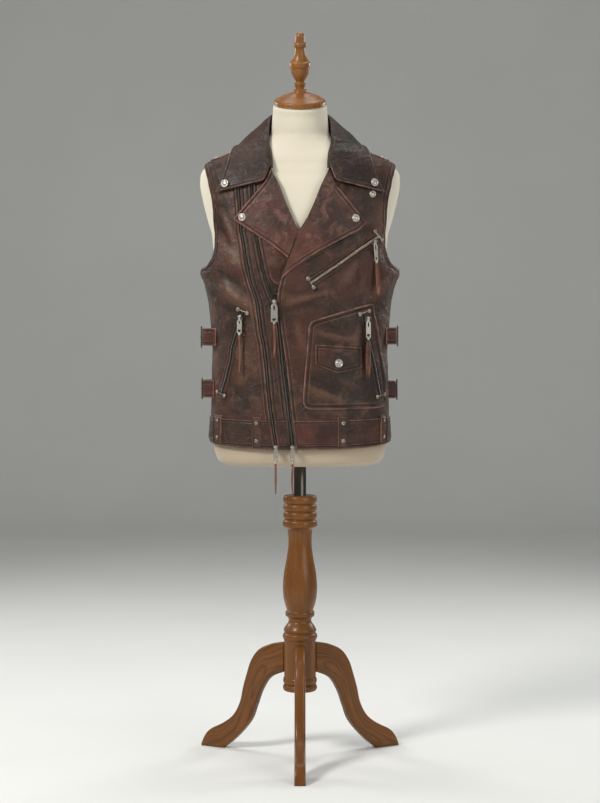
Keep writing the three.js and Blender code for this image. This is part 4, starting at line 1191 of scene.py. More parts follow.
def make_form(settings):
    """The form's sections are level rings of superellipses; the neck's rings tilt with its slanted top.
    The lowest rings close the bottom down to the socket of the pole."""
    heights = np.concatenate([[631, 631.6, 633, 635.5, 639, 643.5, 649], np.arange(656, 1232, 9),
                              np.arange(1232, 1386, 3.5), [1387.5, 1388.8, 1389.6, 1390]])
    angle = full_turn(144) + OFF_SIDE
    z = heights[:, None]
    rings = FORM.point(np.where(angle > np.pi, angle - 2 * np.pi, angle)[None], z)
    tilt = smooth(FORM_ROWS["z"], FORM_ROWS["tilt"])(z)
    rings[..., 2] += (rings[..., 1] - FORM.centre(z)) * tilt
    turn = np.arctan2(rings[0, :, 1], rings[0, :, 0])
    socket = np.stack([BORE_RADIUS * np.cos(turn), BORE_RADIUS * np.sin(turn)], axis=1)
    under = []
    for height, share in ((SOCKET_TOP, 0), (SOCKET_TOP, 1), (FORM_BOTTOM + 0.5, 1), (FORM_BOTTOM, 1.04),
                          (FORM_BOTTOM, 2.5), (FORM_BOTTOM, 6)):
        under.append(np.hstack([socket * max(share, 1e-3), np.full((len(turn), 1), float(height))]))
    upper = [NECK_TOP + (rings[-1] - NECK_TOP) * share for share in (0.97, 0.6, 1e-3)]
    shape = outward(*tube(np.stack([*under, *rings, *upper])))
    fit(add_mesh("form_body", *shape, MATERIALS["knit"]), "figure", "form_cloth", "dress_form")


def tilted(points):
    """Points of the turned cap, leaned with the slant of the neck's top."""
    sine, cosine = math.sin(NECK_TILT), math.cos(NECK_TILT)
    x, y, z = np.asarray(points).T
    return np.stack([x, y * cosine - z * sine, y * sine + z * cosine], axis=1) + CAP_CENTRE


def make_stand(settings):
    """Turned pieces are profiles of radius against height. Each leg is a row of sections with round corners
    between its upper and its lower line."""
    points, faces = lathe(soft_profile(FINIAL_PROFILE), 64)
    cap = add_mesh("turned_cap", tilted(points), faces, MATERIALS["honey"])
    fit(add_grain(cap, points[:, [2, 0, 1]] * 1.3), "figure", "honey_wood", "neck_cap")

    bore = [(0, BORE_BOTTOM), (BORE_RADIUS - 0.4, BORE_BOTTOM), (BORE_RADIUS, BORE_BOTTOM + 1),
            (BORE_RADIUS, COLUMN_TOP - 4), (BORE_RADIUS + 0.8, COLUMN_TOP - 1),
            (BORE_RADIUS + 2, COLUMN_TOP), (31, COLUMN_TOP)]
    foot = [(30, COLUMN_FOOT), (0, COLUMN_FOOT)]
    points, faces = lathe(np.vstack([bore, soft_profile(COLUMN_PROFILE), foot]), 72)
    column = add_mesh("turned_column", points, faces, MATERIALS["wood"])
    fit(add_grain(column, points[:, [2, 0, 1]]), "stand", "wood", "column")

    rod = [(0, POLE_BOTTOM), (POLE_RADIUS - 0.6, POLE_BOTTOM), (POLE_RADIUS, POLE_BOTTOM + 0.6),
           (POLE_RADIUS, POLE_TOP - 0.6), (POLE_RADIUS - 0.6, POLE_TOP), (0, POLE_TOP)]
    fit(add_mesh("steel_pole", *lathe(rod, 64), MATERIALS["chrome"]), "mast", "chrome", "pole")

    upper, lower = leg_line(LEG_UPPER), leg_line(LEG_LOWER)
    pull = np.linspace(0, 1, LEG_STEPS)[:, None]
    lower = lower * (1 - pull ** 8) + (upper[-1] + np.array([-5, 0])) * pull ** 8
    turn = full_turn(32)
    across = signed_power(np.cos(turn), LEG_SQUARENESS)
    rise = signed_power(np.sin(turn), LEG_SQUARENESS)
    middle, half = (upper + lower)[:, None] / 2, (upper - lower)[:, None] / 2
    flat = middle + half * rise[None, :, None]
    width = LEG_THICK / 2 * np.broadcast_to(across, flat.shape[:2])
    length = np.broadcast_to(np.linspace(0, 330, LEG_STEPS)[:, None], width.shape)
    depth = np.linalg.norm(half, axis=2) * rise
    points, faces = outward(*tube(np.stack([flat[..., 0], width, flat[..., 1]], axis=-1)))
    grain = np.stack([length, width + 30, depth], axis=-1).reshape(-1, 3)
    for i, (name, degrees) in enumerate(LEG_TURNS.items()):
        angle = math.radians(degrees)
        x = points[:, 0] * math.cos(angle) - points[:, 1] * math.sin(angle)
        y = points[:, 0] * math.sin(angle) + points[:, 1] * math.cos(angle)
        leg = add_mesh(f"carved_{name}", np.stack([x, y, points[:, 2]], axis=1), faces, MATERIALS["wood"])
        fit(add_grain(leg, grain + np.array([400 * i, 7 * i, 0])), "stand", "wood", name)


# Body panels
def line_of(text):
    """A smooth line of x against z, from a table of both."""
    rows = table(text)
    return smooth(rows["z"], rows["x"])


zip_outer = line_of("""
z x
676 -48
720 -55
758 -61
827 -68
884 -74.5
914 -80.5
970 -87
990 -93.5
1015 -102
1048 -109
1092 -116
1123 -121
1199 -127
1240 -131
1290 -134
""")
track = line_of("""
z x
972 -52
990 -61.5
1009 -68
1034 -75
1062 -81
1110 -89.5
1206 -99.5
1240 -102
1306 -106
""")
main_zip = line_of("""
z x
676 -14.5
703 -17.5
747 -24
778 -28
813 -32.5
856 -37
914 -42.5
950 -47
972 -52
""")
front_edge = line_of("""
z x
676 -7.5
703 -10.5
747 -17
803 -23.5
856 -30
910 -38
955 -43.5
980 -46.5
998 -44.3
1020 -38.5
1048 -28.8
1072 -18.5
1118 -2.8
""")
neck_line = line_of("""
z x
1118 2.8
1149 16
1180 30
1217 44.5
1253 60
1290 66
1320 76
""")
ARMHOLE = table("""
z degrees
1037 0
1038.2 7
1041.5 17
1050 25.5
1069 28.5
1094 29.5
1116 29.5
1139 31
1168 34
1197 35.3
1226 34.2
1243 31.5
1255 26.5
1262.5 18.5
1267.3 9
1269 0
""")
armhole = smooth(ARMHOLE["z"], ARMHOLE["degrees"])
ARMPIT_Z = ARMHOLE["z"][0]
SHOULDER_Z = ARMHOLE["z"][-1]
ARMHOLE_ENDS = np.array([-0.1, 0.1, 0.5, 1, 1.6, 2.4, 3.3, 4.4, 5.6, 7, 8.6, 10.4, 12.4, 14.6, 17])
BINDING_ENDS = np.array([0, 0.2, 0.6, 1.2, 2.2, 3.6, 5.4, 7.6, 10.4, 13.6, 17.6])


def outer_edge(z, side, front):
    """The outer edge of a panel on one side: side seam, armhole, then shoulder seam."""
    beside = beside_ridge(z, side, front)
    if z <= ARMPIT_Z or z >= SHOULDER_Z:
        return beside
    turn = max(math.radians(float(armhole(z))), abs(math.sin(beside)))
    angle = turn if side > 0 else math.pi - turn
    return angle if front else -angle


def panel_heights(low, high, step=4.0):
    """Row heights: close together at the ends of the armhole and at both ends of the piece."""
    near = EDGE_STATIONS
    even = np.arange(low + near[-1] + step, high - near[-1] - step / 2, step)
    even = even[(np.abs(even - ARMPIT_Z - 8) > 10.5) & (np.abs(even - SHOULDER_Z + 8) > 10.5)]
    ends = [ARMPIT_Z + ARMHOLE_ENDS, SHOULDER_Z - ARMHOLE_ENDS]
    rows = np.concatenate([low + near, even, *ends, high - near])
    rows = np.unique(np.round(rows[(rows >= low) & (rows <= high)], 2))
    return rows[np.concatenate([[True], np.diff(rows) > 0.18])]


def inside(x, z, inset=1.0):
    """A value of x kept between the sides of the body."""
    return np.clip(x, inset - VEST.half(z), VEST.half(z) - inset)


def at_x(line):
    """An edge for a band: the angle in front at which a line of x against z stands."""
    return lambda z: float(angle_at(inside(line(z), z), z))


def zip_gap(z):
    """From the middle of a zip to the leather beside it; above the zip it closes to half a seam."""
    gap = ZIP_HALF + SEAM
    return gap if z <= ZIP_TOP else gap - (ZIP_HALF + SEAM / 2) * ease(0, 3, z - ZIP_TOP)


def proud(x, z):
    """How far the right front stands off where it crosses the left one."""
    across = 3.6 * ease(46, 4, x - front_edge(np.minimum(z, BREAK_Z)))
    return across * ease(960, 1010, z) * ease(1150, 1110, z)


def make_panels(settings):
    """Each panel is a band of level rows between its two edges, 2 mm thick, with its cut edges rounded."""
    back = band(panel_heights(HEM_Z, NECK_Z), lambda z: outer_edge(z, 1, False),
                lambda z: outer_edge(z, -1, False), 4.4, 0.0, HIDE, pressed=beneath_belt)
    fit_cloth("back_leather", back, "leather", "back_panel")
    sew(back, "low")
    sew(back, "left", "right", distance=4)

    left = band(panel_heights(HEM_Z, LEFT_TOP), lambda z: outer_edge(z, -1, True),
                at_x(lambda z: zip_outer(z) - zip_gap(z)), 3.6, 0.0, HIDE, pressed=beneath_belt)
    fit_cloth("left_front_leather", left, "leather", "left_front")
    sew(left, "right", "low")
    sew(left, "left", distance=4)

    def strip_edge(z):
        return float(main_zip(z) if z < SLIDER_Z else track(z)) - zip_gap(z)

    strip = band(panel_heights(HEM_Z, STRIP_TOP), at_x(lambda z: zip_outer(z) + zip_gap(z)),
                 at_x(strip_edge), 3.6, 0.0, HIDE, pressed=beneath_belt)
    fit_cloth("strip_leather", strip, "dark", "front_strip")
    sew(strip, "left", "right", "low")

    def sunk(angle, z):
        # under the crossing edge of the right front
        x = VEST.point(angle, z)[..., 0]
        across = ease(-34, -4, x - front_edge(np.minimum(z, BREAK_Z)))
        return -3.4 * across * ease(BREAK_Z + 10, BREAK_Z - 30, z)

    def underlap_edge(z):
        if z < BREAK_Z:
            return float(front_edge(z) + 14 * ease(BREAK_Z, BREAK_Z - 40, z))
        return -float(neck_line(z))

    under = band(panel_heights(SLIDER_Z + 14, UNDERLAP_TOP), at_x(lambda z: float(track(z)) + zip_gap(z)),
                 at_x(underlap_edge), 3.6, sunk,
                 lambda angle, z: sunk(angle, z) + HIDE * (1 - 0.15 * ease(BREAK_Z, 1000, z)))
    # painted shadow: near the slider, where the right front crosses over it, the underlap's low end is given
    # the painted shade of a sewing groove all over
    shade = ease(1032, 1004, under.upper[..., 2])
    under.edge = under.edge * (1 - shade) + (WELT - 0.5) * shade
    fit_cloth("underlap_leather", under, "leather", "underlap")
    sew(under, "left")

    def rise(angle, z):
        # over the edge of the left front
        return proud(VEST.point(angle, z)[..., 0], z)

    right = band(panel_heights(HEM_Z, NECK_Z),
                 at_x(lambda z: float(front_edge(z) if z < BREAK_Z else neck_line(z))),
                 lambda z: outer_edge(z, 1, True), 3.8, rise, lambda angle, z: rise(angle, z) + HIDE,
                 pressed=lambda z: np.maximum(beneath_belt(z), ease(1025, 1045, z)))
    fit_cloth("right_front_leather", right, "leather", "right_front")
    sew(right, "left", "low")
    sew(right, "right", distance=4)


BINDING_ROW = 3                # column of the band that is sewn


def make_bindings(settings):
    """A folded band follows each armhole's loop; its section is a flat half round, 8 mm wide."""
    middle = np.linspace(1060, 1246, 40)
    z = np.concatenate([ARMPIT_Z + BINDING_ENDS, middle, SHOULDER_Z - BINDING_ENDS[::-1]])
    turn = np.radians(armhole(z))
    turn[[0, -1]] = 0
    z = np.concatenate([z, z[-2:0:-1]])
    turn = np.concatenate([turn, -turn[-2:0:-1]])
    for side, name in ((-1, "left"), (1, "right")):
        angle = turn if side > 0 else np.sign(turn + 1e-9) * np.pi - turn
        edge = VEST.point(angle, z)
        out = VEST.normal(angle, z)
        loop = np.vstack([edge[-3:], edge, edge[:3]])
        tangent = unit(loop[5:-1] - loop[1:-5])
        inward = unit(np.cross(tangent, out)) * side
        share = np.linspace(0, 1, 17)
        across = SEAM + BINDING_WIDTH * share
        top = (HIDE + 1.1) * (1 - np.abs(2 * share - 1) ** 4) ** 0.5
        pucker = 0.35 * (noise(np.arange(len(z))[:, None] * 1.7, share[None] * 2) - 0.5)
        foot = edge[:, None] + inward[:, None] * across[None, :, None]
        upper = foot + out[:, None] * (top + pucker)[..., None]
        lower = foot - 0.3 * out[:, None]
        rings = np.concatenate([upper, lower[:, -2:0:-1]], axis=1)
        points, faces = outward(*tube(rings, closed=True))
        far = np.concatenate([7.5 * share + 0.8, 7.5 * share[-2:0:-1]])
        wear = np.broadcast_to(far, rings.shape[:2])
        piece = fit(add_mesh(f"binding_{name}", points, faces, MATERIALS["red"], edge=wear),
                    "figure", "leather_red", f"armhole_binding_{name}")
        row = np.vstack([upper[:, BINDING_ROW], upper[:1, BINDING_ROW]])
        STITCH_LINES.append((row, np.vstack([out, out[:1]])))


# Lapels and collar
LAPEL_LEFT = [(-60, 1247, 0), (-43.5, 1217, 0), (-30, 1180, 0), (-16.5, 1149, 0), (-3.5, 1118, 0),
              (-12, 1096, 0), (-19.5, 1072, 0), (-24.5, 1064, 3), (-57.7, 1090.5, 0), (-93.7, 1115, 0),
              (-136, 1145, 2.5), (-73.7, 1219, 0)]
LAPEL_RIGHT = [(61, 1247, 0), (75.5, 1212, 0), (136, 1138, 2.5), (118, 1121, 0), (43, 1079, 0),
               (10, 1059, 0), (-24.7, 1034, 0), (-38, 1019.5, 2), (-29.5, 1047, 0), (-18.5, 1072, 0),
               (-2.8, 1118, 0), (16, 1149, 0), (30, 1180, 0), (44.5, 1217, 0)]


def lapel_lift(x, z):
    """A lapel stands off more towards its tip."""
    fold = np.maximum(0, neck_line(np.maximum(z, BREAK_Z)))
    return 2.3 + 3.0 * ease(0, 70, np.abs(x) - fold)


def make_lapels(settings):
    """Each lapel fills its outline with a blended grid; its fold line is the front's neck edge."""
    left_outline = rounded(LAPEL_LEFT)
    free = rounded(LAPEL_LEFT[7:] + LAPEL_LEFT[:1])[3:]
    left = patch(left_outline, [(-136, 1145), (-24.5, 1064), (-3.5, 1118), (-60, 1247)], 30, 30, lapel_lift,
                 lambda x, z: lapel_lift(x, z) + HIDE, free=free)
    fit_cloth("lapel_left_leather", left, "lapel", "lapel_left")
    sew_front(offset_line(free, WELT), lambda x, z: lapel_lift(x, z) + HIDE)

    def right_lift(x, z):
        return lapel_lift(np.maximum(x, 0), z) + proud(x, z) + 0.1

    right_outline = rounded(LAPEL_RIGHT)
    free = rounded([LAPEL_RIGHT[0]] + LAPEL_RIGHT[1:8])[:-3]
    right = patch(right_outline, [(-38, 1019.5), (136, 1138), (61, 1247), (-2.8, 1118)], 34, 34, right_lift,
                  lambda x, z: right_lift(x, z) + HIDE, free=free)
    fit_cloth("lapel_right_leather", right, "lapel", "lapel_right")
    sew_front(offset_line(free, WELT), lambda x, z: right_lift(x, z) + HIDE)


def offset_line(line, distance):
    """A line moved sideways to the inside of the outline that it runs round."""
    line = resample(np.asarray(line, dtype=float), 160)
    tangent = tangents(line)
    aside = -rightward(tangent)
    middle = line.mean(axis=0)
    if np.sum((middle - line) * aside) < 0:
        aside = -aside
    moved = line + aside * distance
    keep = polygon_distance(moved[:, 0], moved[:, 1], np.vstack([line, line[::-1]])) > distance - 0.4
    return moved[keep]


# Roll line, outer edge and foot of the collar, from the back of the neck to the gorge
COLLAR_ROWS = table("""
rollX rollY rollZ edgeX edgeY edgeZ footX footY footZ
0 43 1384 0 72 1312 0 48.5 1330
22 40 1383 44 69 1310 25 45.5 1330
39 30 1380 86 50 1305 48 33 1331
51 13 1377 114 26 1303 63 14 1332
60 -8 1371 131 -2 1304 69.5 -10 1334
64 -28 1348 138 -28 1295 68 -29 1338
65 -50 1318 143 -50 1283 67 -46 1314
63.5 -73 1290 150 -70 1263 60 -67 1289
61.5 -88 1270 161 -82 1233 57.5 -81 1267
61 -99 1254 172 -90 1202 57 -92 1251
""")
COLLAR_END = table("""
share x z
0 61 1254
0.25 75.5 1222
0.5 106 1214.5
0.75 138 1207.5
1 171.5 1202
""")
COLLAR_STATIONS = 150
COLLAR_STAND = 13              # columns of the stand, before those of the fall
COLLAR_FALL = 46


def collar_half():
    """Points of the right half of the collar: foot, stand, roll, then the fall to the outer edge."""
    count = len(COLLAR_ROWS["rollX"])
    lines = {}
    for name in ("roll", "edge", "foot"):
        points = np.stack([COLLAR_ROWS[name + axis] for axis in "XYZ"], axis=1)
        mirrored = np.vstack([points[1:][::-1] * [-1, 1, 1], points])
        dense = curve(mirrored, 2 * COLLAR_STATIONS + 1)
        lines[name] = dense[COLLAR_STATIONS:]
    u = np.linspace(0, 1, COLLAR_STATIONS + 1)
    end = ease(1 - 1 / (count - 1), 1, u)[:, None, None]
    share = np.linspace(0, 1, COLLAR_FALL)[None, :, None]
    roll, edge, foot = (lines[name][:, None] for name in ("roll", "edge", "foot"))
    fall = roll + (edge - roll) * share
    gorge_x = smooth(COLLAR_END["share"], COLLAR_END["x"])(share[..., 0])
    gorge_z = smooth(COLLAR_END["share"], COLLAR_END["z"])(share[..., 0])
    angle = angle_at(gorge_x, gorge_z)
    front = VEST.point(angle, gorge_z) + VEST.normal(angle, gorge_z) * COLLAR_LIFT
    fall = fall + (front - fall) * end
    bulge = 3 * np.sin(np.pi * share) * (1 - 0.5 * u[:, None, None]) * (1 - end)
    fall = fall + clearance(fall)[1] * bulge
    lift = (COLLAR_LIFT - 1.6 * ease(0.5, 0.9, u))[:, None]
    fall = stand_off(fall, lift - 60 * ease(1314, 1350, fall[..., 2]))
    stand = foot + (roll - foot) * np.linspace(0, 1, COLLAR_STAND + 1)[None, :-1, None]
    return np.concatenate([stand, fall], axis=1)


def relax(grid, start, stop, rounds):
    """Rounds off the crease of a grid between two of its columns by averaging neighbours."""
    for _ in range(rounds):
        beside = grid[:, start - 1:stop - 1] + grid[:, start + 1:stop + 1]
        grid[:, start:stop] = 0.5 * grid[:, start:stop] + 0.25 * beside
    return grid


def make_collar(settings):
    """The collar is one sheet from its foot up the stand, over a soft roll and down to its outer edge. Both
    faces lie half its thickness off that sheet."""
    half = collar_half()
    grid = np.concatenate([half[1:][::-1] * np.array([-1, 1, 1]), half])
    grid = relax(grid, COLLAR_STAND - 4, COLLAR_STAND + 6, 5)
    fall = grid[:, COLLAR_STAND:]
    down = np.linalg.norm(np.diff(fall[:, ::-1], axis=1), axis=2)
    from_edge = np.hstack([np.zeros((len(grid), 1)), np.cumsum(down, axis=1)])[:, ::-1]
    sideways = np.linalg.norm(np.diff(fall, axis=0), axis=2)
    from_left = np.vstack([np.zeros((1, fall.shape[1])), np.cumsum(sideways, axis=0)])
    from_end = np.minimum(from_left, from_left[-1] - from_left)
    edge = np.full(grid.shape[:2], 60.0)
    edge[:, COLLAR_STAND:] = np.minimum(from_edge, from_end)
    normal = grid_normals(grid)
    out = clearance(grid[:, -10:])[1]
    if np.sum(normal[:, -10:] * out) < 0:
        normal = -normal
    lump = crumple(grid[..., 0] * 1.3, grid[..., 2] + grid[..., 1], grid[..., 1] < 0)
    lump = 0.8 * lump * ease(8, 20, np.arange(grid.shape[1]))[None]
    relief = (edge_rise(edge) - 1) * HIDE + sewn(edge, z=grid[..., 0]) * np.clip(edge / 2, 0, 1)
    cloth = Cloth(grid + normal * (HIDE / 2 + lump + relief)[..., None],
                  grid + normal * (lump - HIDE / 2)[..., None], edge)
    fit_cloth("collar_leather", cloth, "dark", "collar")
    sew(cloth, "right", trim=0.02)
    for side in ("low", "high"):
        points, outs = cloth.line(side, WELT)
        STITCH_LINES.append((points[16:-7], outs[16:-7]))


# Shoulder straps, belt, loops and side straps
# Seen from above: outer and inner end, front and back edge
SHOULDER_STRAP = {"outer": 187, "inner": 122, "front": -24, "back": 24}
# Belt loops in front (side 1) and behind (side -1)
LOOPS = table("""
side x width
1 -169 16
1 -89 17
1 88 21
1 171 13
-1 0 20
""")
# Side straps: height, half width, how far the middle stands off, front end, lift of both ends
ADJUSTERS = table("""
side z half proud anchor seat
-1 902 18.5 21 -54 3.6
-1 792 18.5 19 -42 2.5
1 904 18 19 -44 3.3
1 790 18 17 -36 3
""")
ADJUSTER_NAMES = ("left_upper", "left_lower", "right_upper", "right_lower")
STRAP_BACK = 74
SNAPS = []                     # place, outward direction, radius and solid of each snap
RIVETS = []                    # place, outward direction and radius of each rivet


def shoulder_point(x, y, lift):
    """The point of the vest's inner face above a place of the plan, moved out by a lift."""
    x, y = np.broadcast_arrays(x, y)
    low = np.full(x.shape, 1200.0)
    high = np.full(x.shape, 1330.0)
    for _ in range(24):
        z = (low + high) / 2
        above = clearance(np.stack([x, y, z], axis=-1))[0] > 0
        high = np.where(above, z, high)
        low = np.where(above, low, z)
    point = np.stack([x, y, high], axis=-1)
    return point + clearance(point)[1] * np.asarray(lift)[..., None]


def make_shoulder_straps(settings):
    """Each strap is a grid of points laid on the shoulder, found by halving the height above the plan."""
    s = SHOULDER_STRAP
    for side, name in ((-1, "left"), (1, "right")):
        across = stations(s["outer"] - s["inner"], 12)
        along_y = stations(s["back"] - s["front"], 8)
        x = side * (s["outer"] - across)[:, None]
        y = (s["front"] + along_y)[None]
        edge = np.minimum(across, across[-1] - across)[:, None]
        edge = np.minimum(edge, np.minimum(along_y, along_y[-1] - along_y)[None])
        lift = 3 + 2.2 * edge_rise(edge) + sewn(edge, (4,), x + y) * np.clip(edge / 2, 0, 1)
        strap = Cloth(shoulder_point(x, y, lift), shoulder_point(x, y, 2.9 + 0 * edge), edge)
        fit_cloth(f"shoulder_strap_{name}_leather", strap, "leather",
                  f"shoulder_strap_{name}")
        sew(strap, "left", "right", "low", distance=4, trim=0.08)
        for snap_x in (174, 145):
            point = shoulder_point(side * snap_x, -4.0, 4.9)
            SNAPS.append((point, clearance(point)[1], 7.2, ""))


def make_belt(settings):
    """The belt's four lengths and its loops are bands round the hem, level with each other."""
    gap = ZIP_HALF + 2
    heights = BELT_LOW + stations(BELT_TOP - BELT_LOW, 8)

    def seam(side, front):
        return lambda z: beside_ridge(z, side, front)

    lengths = (
        ("belt_left", "dark", seam(-1, True), at_x(lambda z: zip_outer(z) - gap)),
        ("belt_strip", "dark", at_x(lambda z: zip_outer(z) + gap), at_x(lambda z: main_zip(z) - gap)),
        ("belt_right", "red", at_x(lambda z: front_edge(z) + 1), seam(1, True)),
        ("belt_back", "dark", seam(1, False), seam(-1, False)),
    )
    for name, look, start, stop in lengths:
        piece = band(heights, start, stop, 4, ON_PANEL, PATCH, row=4)
        fit_cloth(f"{name}_leather", piece, look, name)
        sew(piece, "low", "high", distance=4)

    for i, loop in enumerate(rows_of(LOOPS)):
        front = loop["side"] > 0

        def edge_at(shift, loop=loop, front=front):
            return lambda z: float(angle_at(inside(loop["x"] + shift, z), z, front))

        def over(angle, z):
            # high over the belt, and down to the panel above and below it
            above = ease(BELT_TOP + 0.3, BELT_TOP + 3.5, z)
            below = ease(BELT_LOW - 0.3, BELT_LOW - 3.5, z)
            return 4.8 - 2.6 * above - 2.6 * below

        rows = np.linspace(BELT_LOW - 6, BELT_TOP + 6, 40)
        piece = band(rows, edge_at(-loop["width"] / 2), edge_at(loop["width"] / 2), 2.5, over,
                     lambda angle, z: over(angle, z) + 1.9, row=3)
        name = f"belt_loop_{i + 1}"
        fit_cloth(f"{name}_leather", piece, "leather", name)
        sew(piece, "left", "right", distance=2.6)
        for z in (BELT_TOP - 5, BELT_LOW + 9):
            angle = angle_at(loop["x"], z, front)
            RIVETS.append((on_vest(angle, z, 6.5), VEST.normal(angle, z), 4.3))


def strap_path(side, z, standoff, anchor, seat):
    """A side strap leaves the panel in front, bridges the side seam and lands on the back panel."""
    ends = []
    for y in (anchor, STRAP_BACK):
        front = y < 0
        depth = VEST.front(z) if front else VEST.back(z)
        angle = np.arcsin((abs(y) / depth) ** (VEST.square(z) / 2))
        turn = angle if side > 0 else np.pi - angle
        at = turn if front else -turn
        step = (1 if front else -1) * side * 0.08
        ends.append([VEST.point(at, z) + VEST.normal(at, z) * seat,
                     VEST.point(at - step, z) + VEST.normal(at - step, z) * (seat + 0.4)])
    reach = VEST.half(z) + standoff
    middle = [np.array([side * (reach - abs(y) * 0.04), y, z]) for y in (-22, 0, 22)]
    return np.array([ends[0][0], ends[0][1], *middle, ends[1][1], ends[1][0]])


def cut_plate(outline, holes, thick, soft):
    """A flat plate with holes and soft edges, in its own x and y. A flat curve fills and bevels it."""
    shape = bpy.data.curves.new("plate", "CURVE")
    shape.dimensions = "2D"
    shape.fill_mode = "BOTH"
    shape.bevel_depth = soft
    shape.bevel_resolution = 2
    shape.extrude = thick / 2 - soft
    shape.offset = -soft
    for line in (outline, *holes):
        spline = shape.splines.new("POLY")
        spline.points.add(len(line) - 1)
        spline.points.foreach_set("co", np.array([(x, y, 0, 1) for x, y in line], dtype=float).ravel())
        spline.use_cyclic_u = True
    piece = bpy.data.objects.new("plate", shape)
    mesh = piece.to_mesh()
    points = np.array([vertex.co[:] for vertex in mesh.vertices])
    faces = [tuple(polygon.vertices) for polygon in mesh.polygons]
    piece.to_mesh_clear()
    bpy.data.objects.remove(piece)
    bpy.data.curves.remove(shape)
    return points, faces


def make_side_straps(settings):
    """Each strap is a grid along a smooth path, with a buckle frame and prong at its outermost point."""
    for row, name in zip(rows_of(ADJUSTERS), ADJUSTER_NAMES):
        side, z, half = row["side"], row["z"], row["half"]
        path = curve(strap_path(side, z, row["proud"], row["anchor"], row["seat"]), 90, 0.3)
        path = resample(path, 90)
        tangent = tangents(path)
        out = unit(np.stack([side * np.abs(tangent[:, 1]), -side * tangent[:, 0] * np.sign(tangent[:, 1]),
                             np.zeros(len(path))], axis=1))
        rise = stations(2 * half, 6) - half
        length = np.linspace(0, steps_of(path).sum(), 90)
        edge = np.minimum(half - np.abs(rise)[:, None], np.minimum(length, length[-1] - length)[None])
        bend = 0.8 * (noise(length[None] / 16 + z, rise[:, None] / 30) - 0.5)
        lift = 2.4 * edge_rise(edge) + sewn(edge, (4,), length[None] + z) * np.clip(edge / 2, 0, 1) + bend
        base = path[None] + rise[:, None, None] * np.array([0, 0, 1])
        cloth = Cloth(base + out[None] * lift[..., None], base + out[None] * bend[..., None], edge)
        fit_cloth(f"side_strap_{name}_leather", cloth, "red",
                  f"side_strap_{name}")
        sew(cloth, "low", "high", distance=4, trim=0.03)
        high = half + 4.5
        hole = rectangle(8, 3 - high, high - 3, 1.5)
        parts = Parts()
        points, faces = cut_plate(rectangle(11, -high, high, 3.5), [hole], 2.8, 1.1)
        x = side * (VEST.half(z) + row["proud"] + 4.9)
        basis = (np.array([0, side, 0]), np.array([0, 0, 1]), np.array([side, 0, 0]))
        parts.add(placed(points, np.array([x, 0, z]), *basis), faces)
        prong = curve([(-9.4, 0, 0.4), (-6, 0, 1.4), (0, 0, 0.6), (6, 0, 0.9), (9.6, 0, 1.9)], 24)
        turn = full_turn(12)
        section = np.stack([1.2 * np.cos(turn), 1.2 * np.sin(turn)], axis=1)
        points, faces = outward(*tube(along(prong, section, np.tile([0, 0, 1.0], (24, 1)))))
        parts.add(placed(points, np.array([x, 0, z]), *basis), faces)
        fit(parts.make(f"buckle_{name}_frame", MATERIALS["aged"]), "figure", "nickel", f"buckle_{name}")


# Pockets
POCKET_CORNERS = [(18.6, 933, 12), (150, 973, 8), (178, 812, 0), (182, 755, 26), (5, 755, 20), (6.2, 784, 0)]
FLAP_CORNERS = [(30.9, 886, 2), (123.5, 880, 2), (126, 838, 3), (77.5, 826.5, 0), (30.9, 844, 3)]
FRONT_SNAPS = table("""
x z lift radius
-151 1217 12.4 8.4
150 1219 12.2 8.4
-117 1148 7.0 8.4
112.5 1146 7.2 8.4
78 847 8.6 8.8
150 1198 1.9 7.6
""")
FRONT_SNAP_NODES = ("snap_collar_left", "snap_collar_right", "snap_lapel_left", "snap_lapel_right", "", "")


def inset_outline(outline, distance):
    """A closed outline moved inward along its corners' bisectors."""
    outline = anticlockwise(np.asarray(outline, dtype=float))
    closed = np.vstack([outline, outline[:1]])
    dense = resample(closed, 240)[:-1]
    tangent = unit(np.roll(dense, -1, axis=0) - np.roll(dense, 1, axis=0))
    moved = dense - rightward(tangent) * distance
    keep = polygon_distance(moved[:, 0], moved[:, 1], outline) > distance - 0.35
    line = moved[keep]
    return np.vstack([line, line[:1]])


def make_pockets(settings):
    """The patch pocket and its flap fill their outlines with blended grids laid on what is below."""
    pocket_outline = rounded(POCKET_CORNERS)

    def side_rise(x):
        # room for the hand zip's end of the pocket
        return 0.9 * ease(115, 155, x)

    pocket = patch(pocket_outline, [(11, 758), (174, 760), (149, 968), (21, 930)], 42, 46,
                   lambda x, z: ON_PANEL + 0.6 * side_rise(x), lambda x, z: PATCH + side_rise(x), rows=(8,))
    fit_cloth("pocket_leather", pocket, "leather", "pocket_patch")
    sew_front(inset_outline(pocket_outline, 2.6), PATCH - 0.1)
    sew_front(inset_outline(pocket_outline, 8), PATCH - 0.5)
    flap_outline = rounded(FLAP_CORNERS)
    flap = patch(flap_outline, [(31.5, 844.5), (125, 838.5), (122.5, 880), (32, 885.5)], 26, 12,
                 ON_PATCH + 0.2, OVER + 0.7, rows=(5.5,))
    fit_cloth("flap_leather", flap, "leather", "pocket_flap")
    sew_front(inset_outline(flap_outline, 5.5), OVER + 0.3)
    for row, node in zip(rows_of(FRONT_SNAPS), FRONT_SNAP_NODES):
        angle = angle_at(row["x"], row["z"])
        point = on_vest(angle, row["z"], row["lift"])
        if row["lift"] > COLLAR_LIFT:
            point = VEST.point(angle, row["z"]) + VEST.normal(angle, row["z"]) * row["lift"]
        SNAPS.append((point, VEST.normal(angle, row["z"]), row["radius"], node))


# Zips
SLIDER = {"half": 4.2, "length": 13, "rise": 5.6, "lug": 3.6}
BARREL = {"radius": 1.7, "half": 2.9, "off": 2.6}
TOOTH_PITCH = 1.9
TOOTH_HEIGHT = 1.7


def front_frame(x, z):
    """A level frame on the front: outward, level and sideways."""
    out = VEST.normal(angle_at(x, z), z)
    level = unit(np.array([out[0], out[1], 0.0]))
    return out, level, np.cross([0, 0, 1], level)


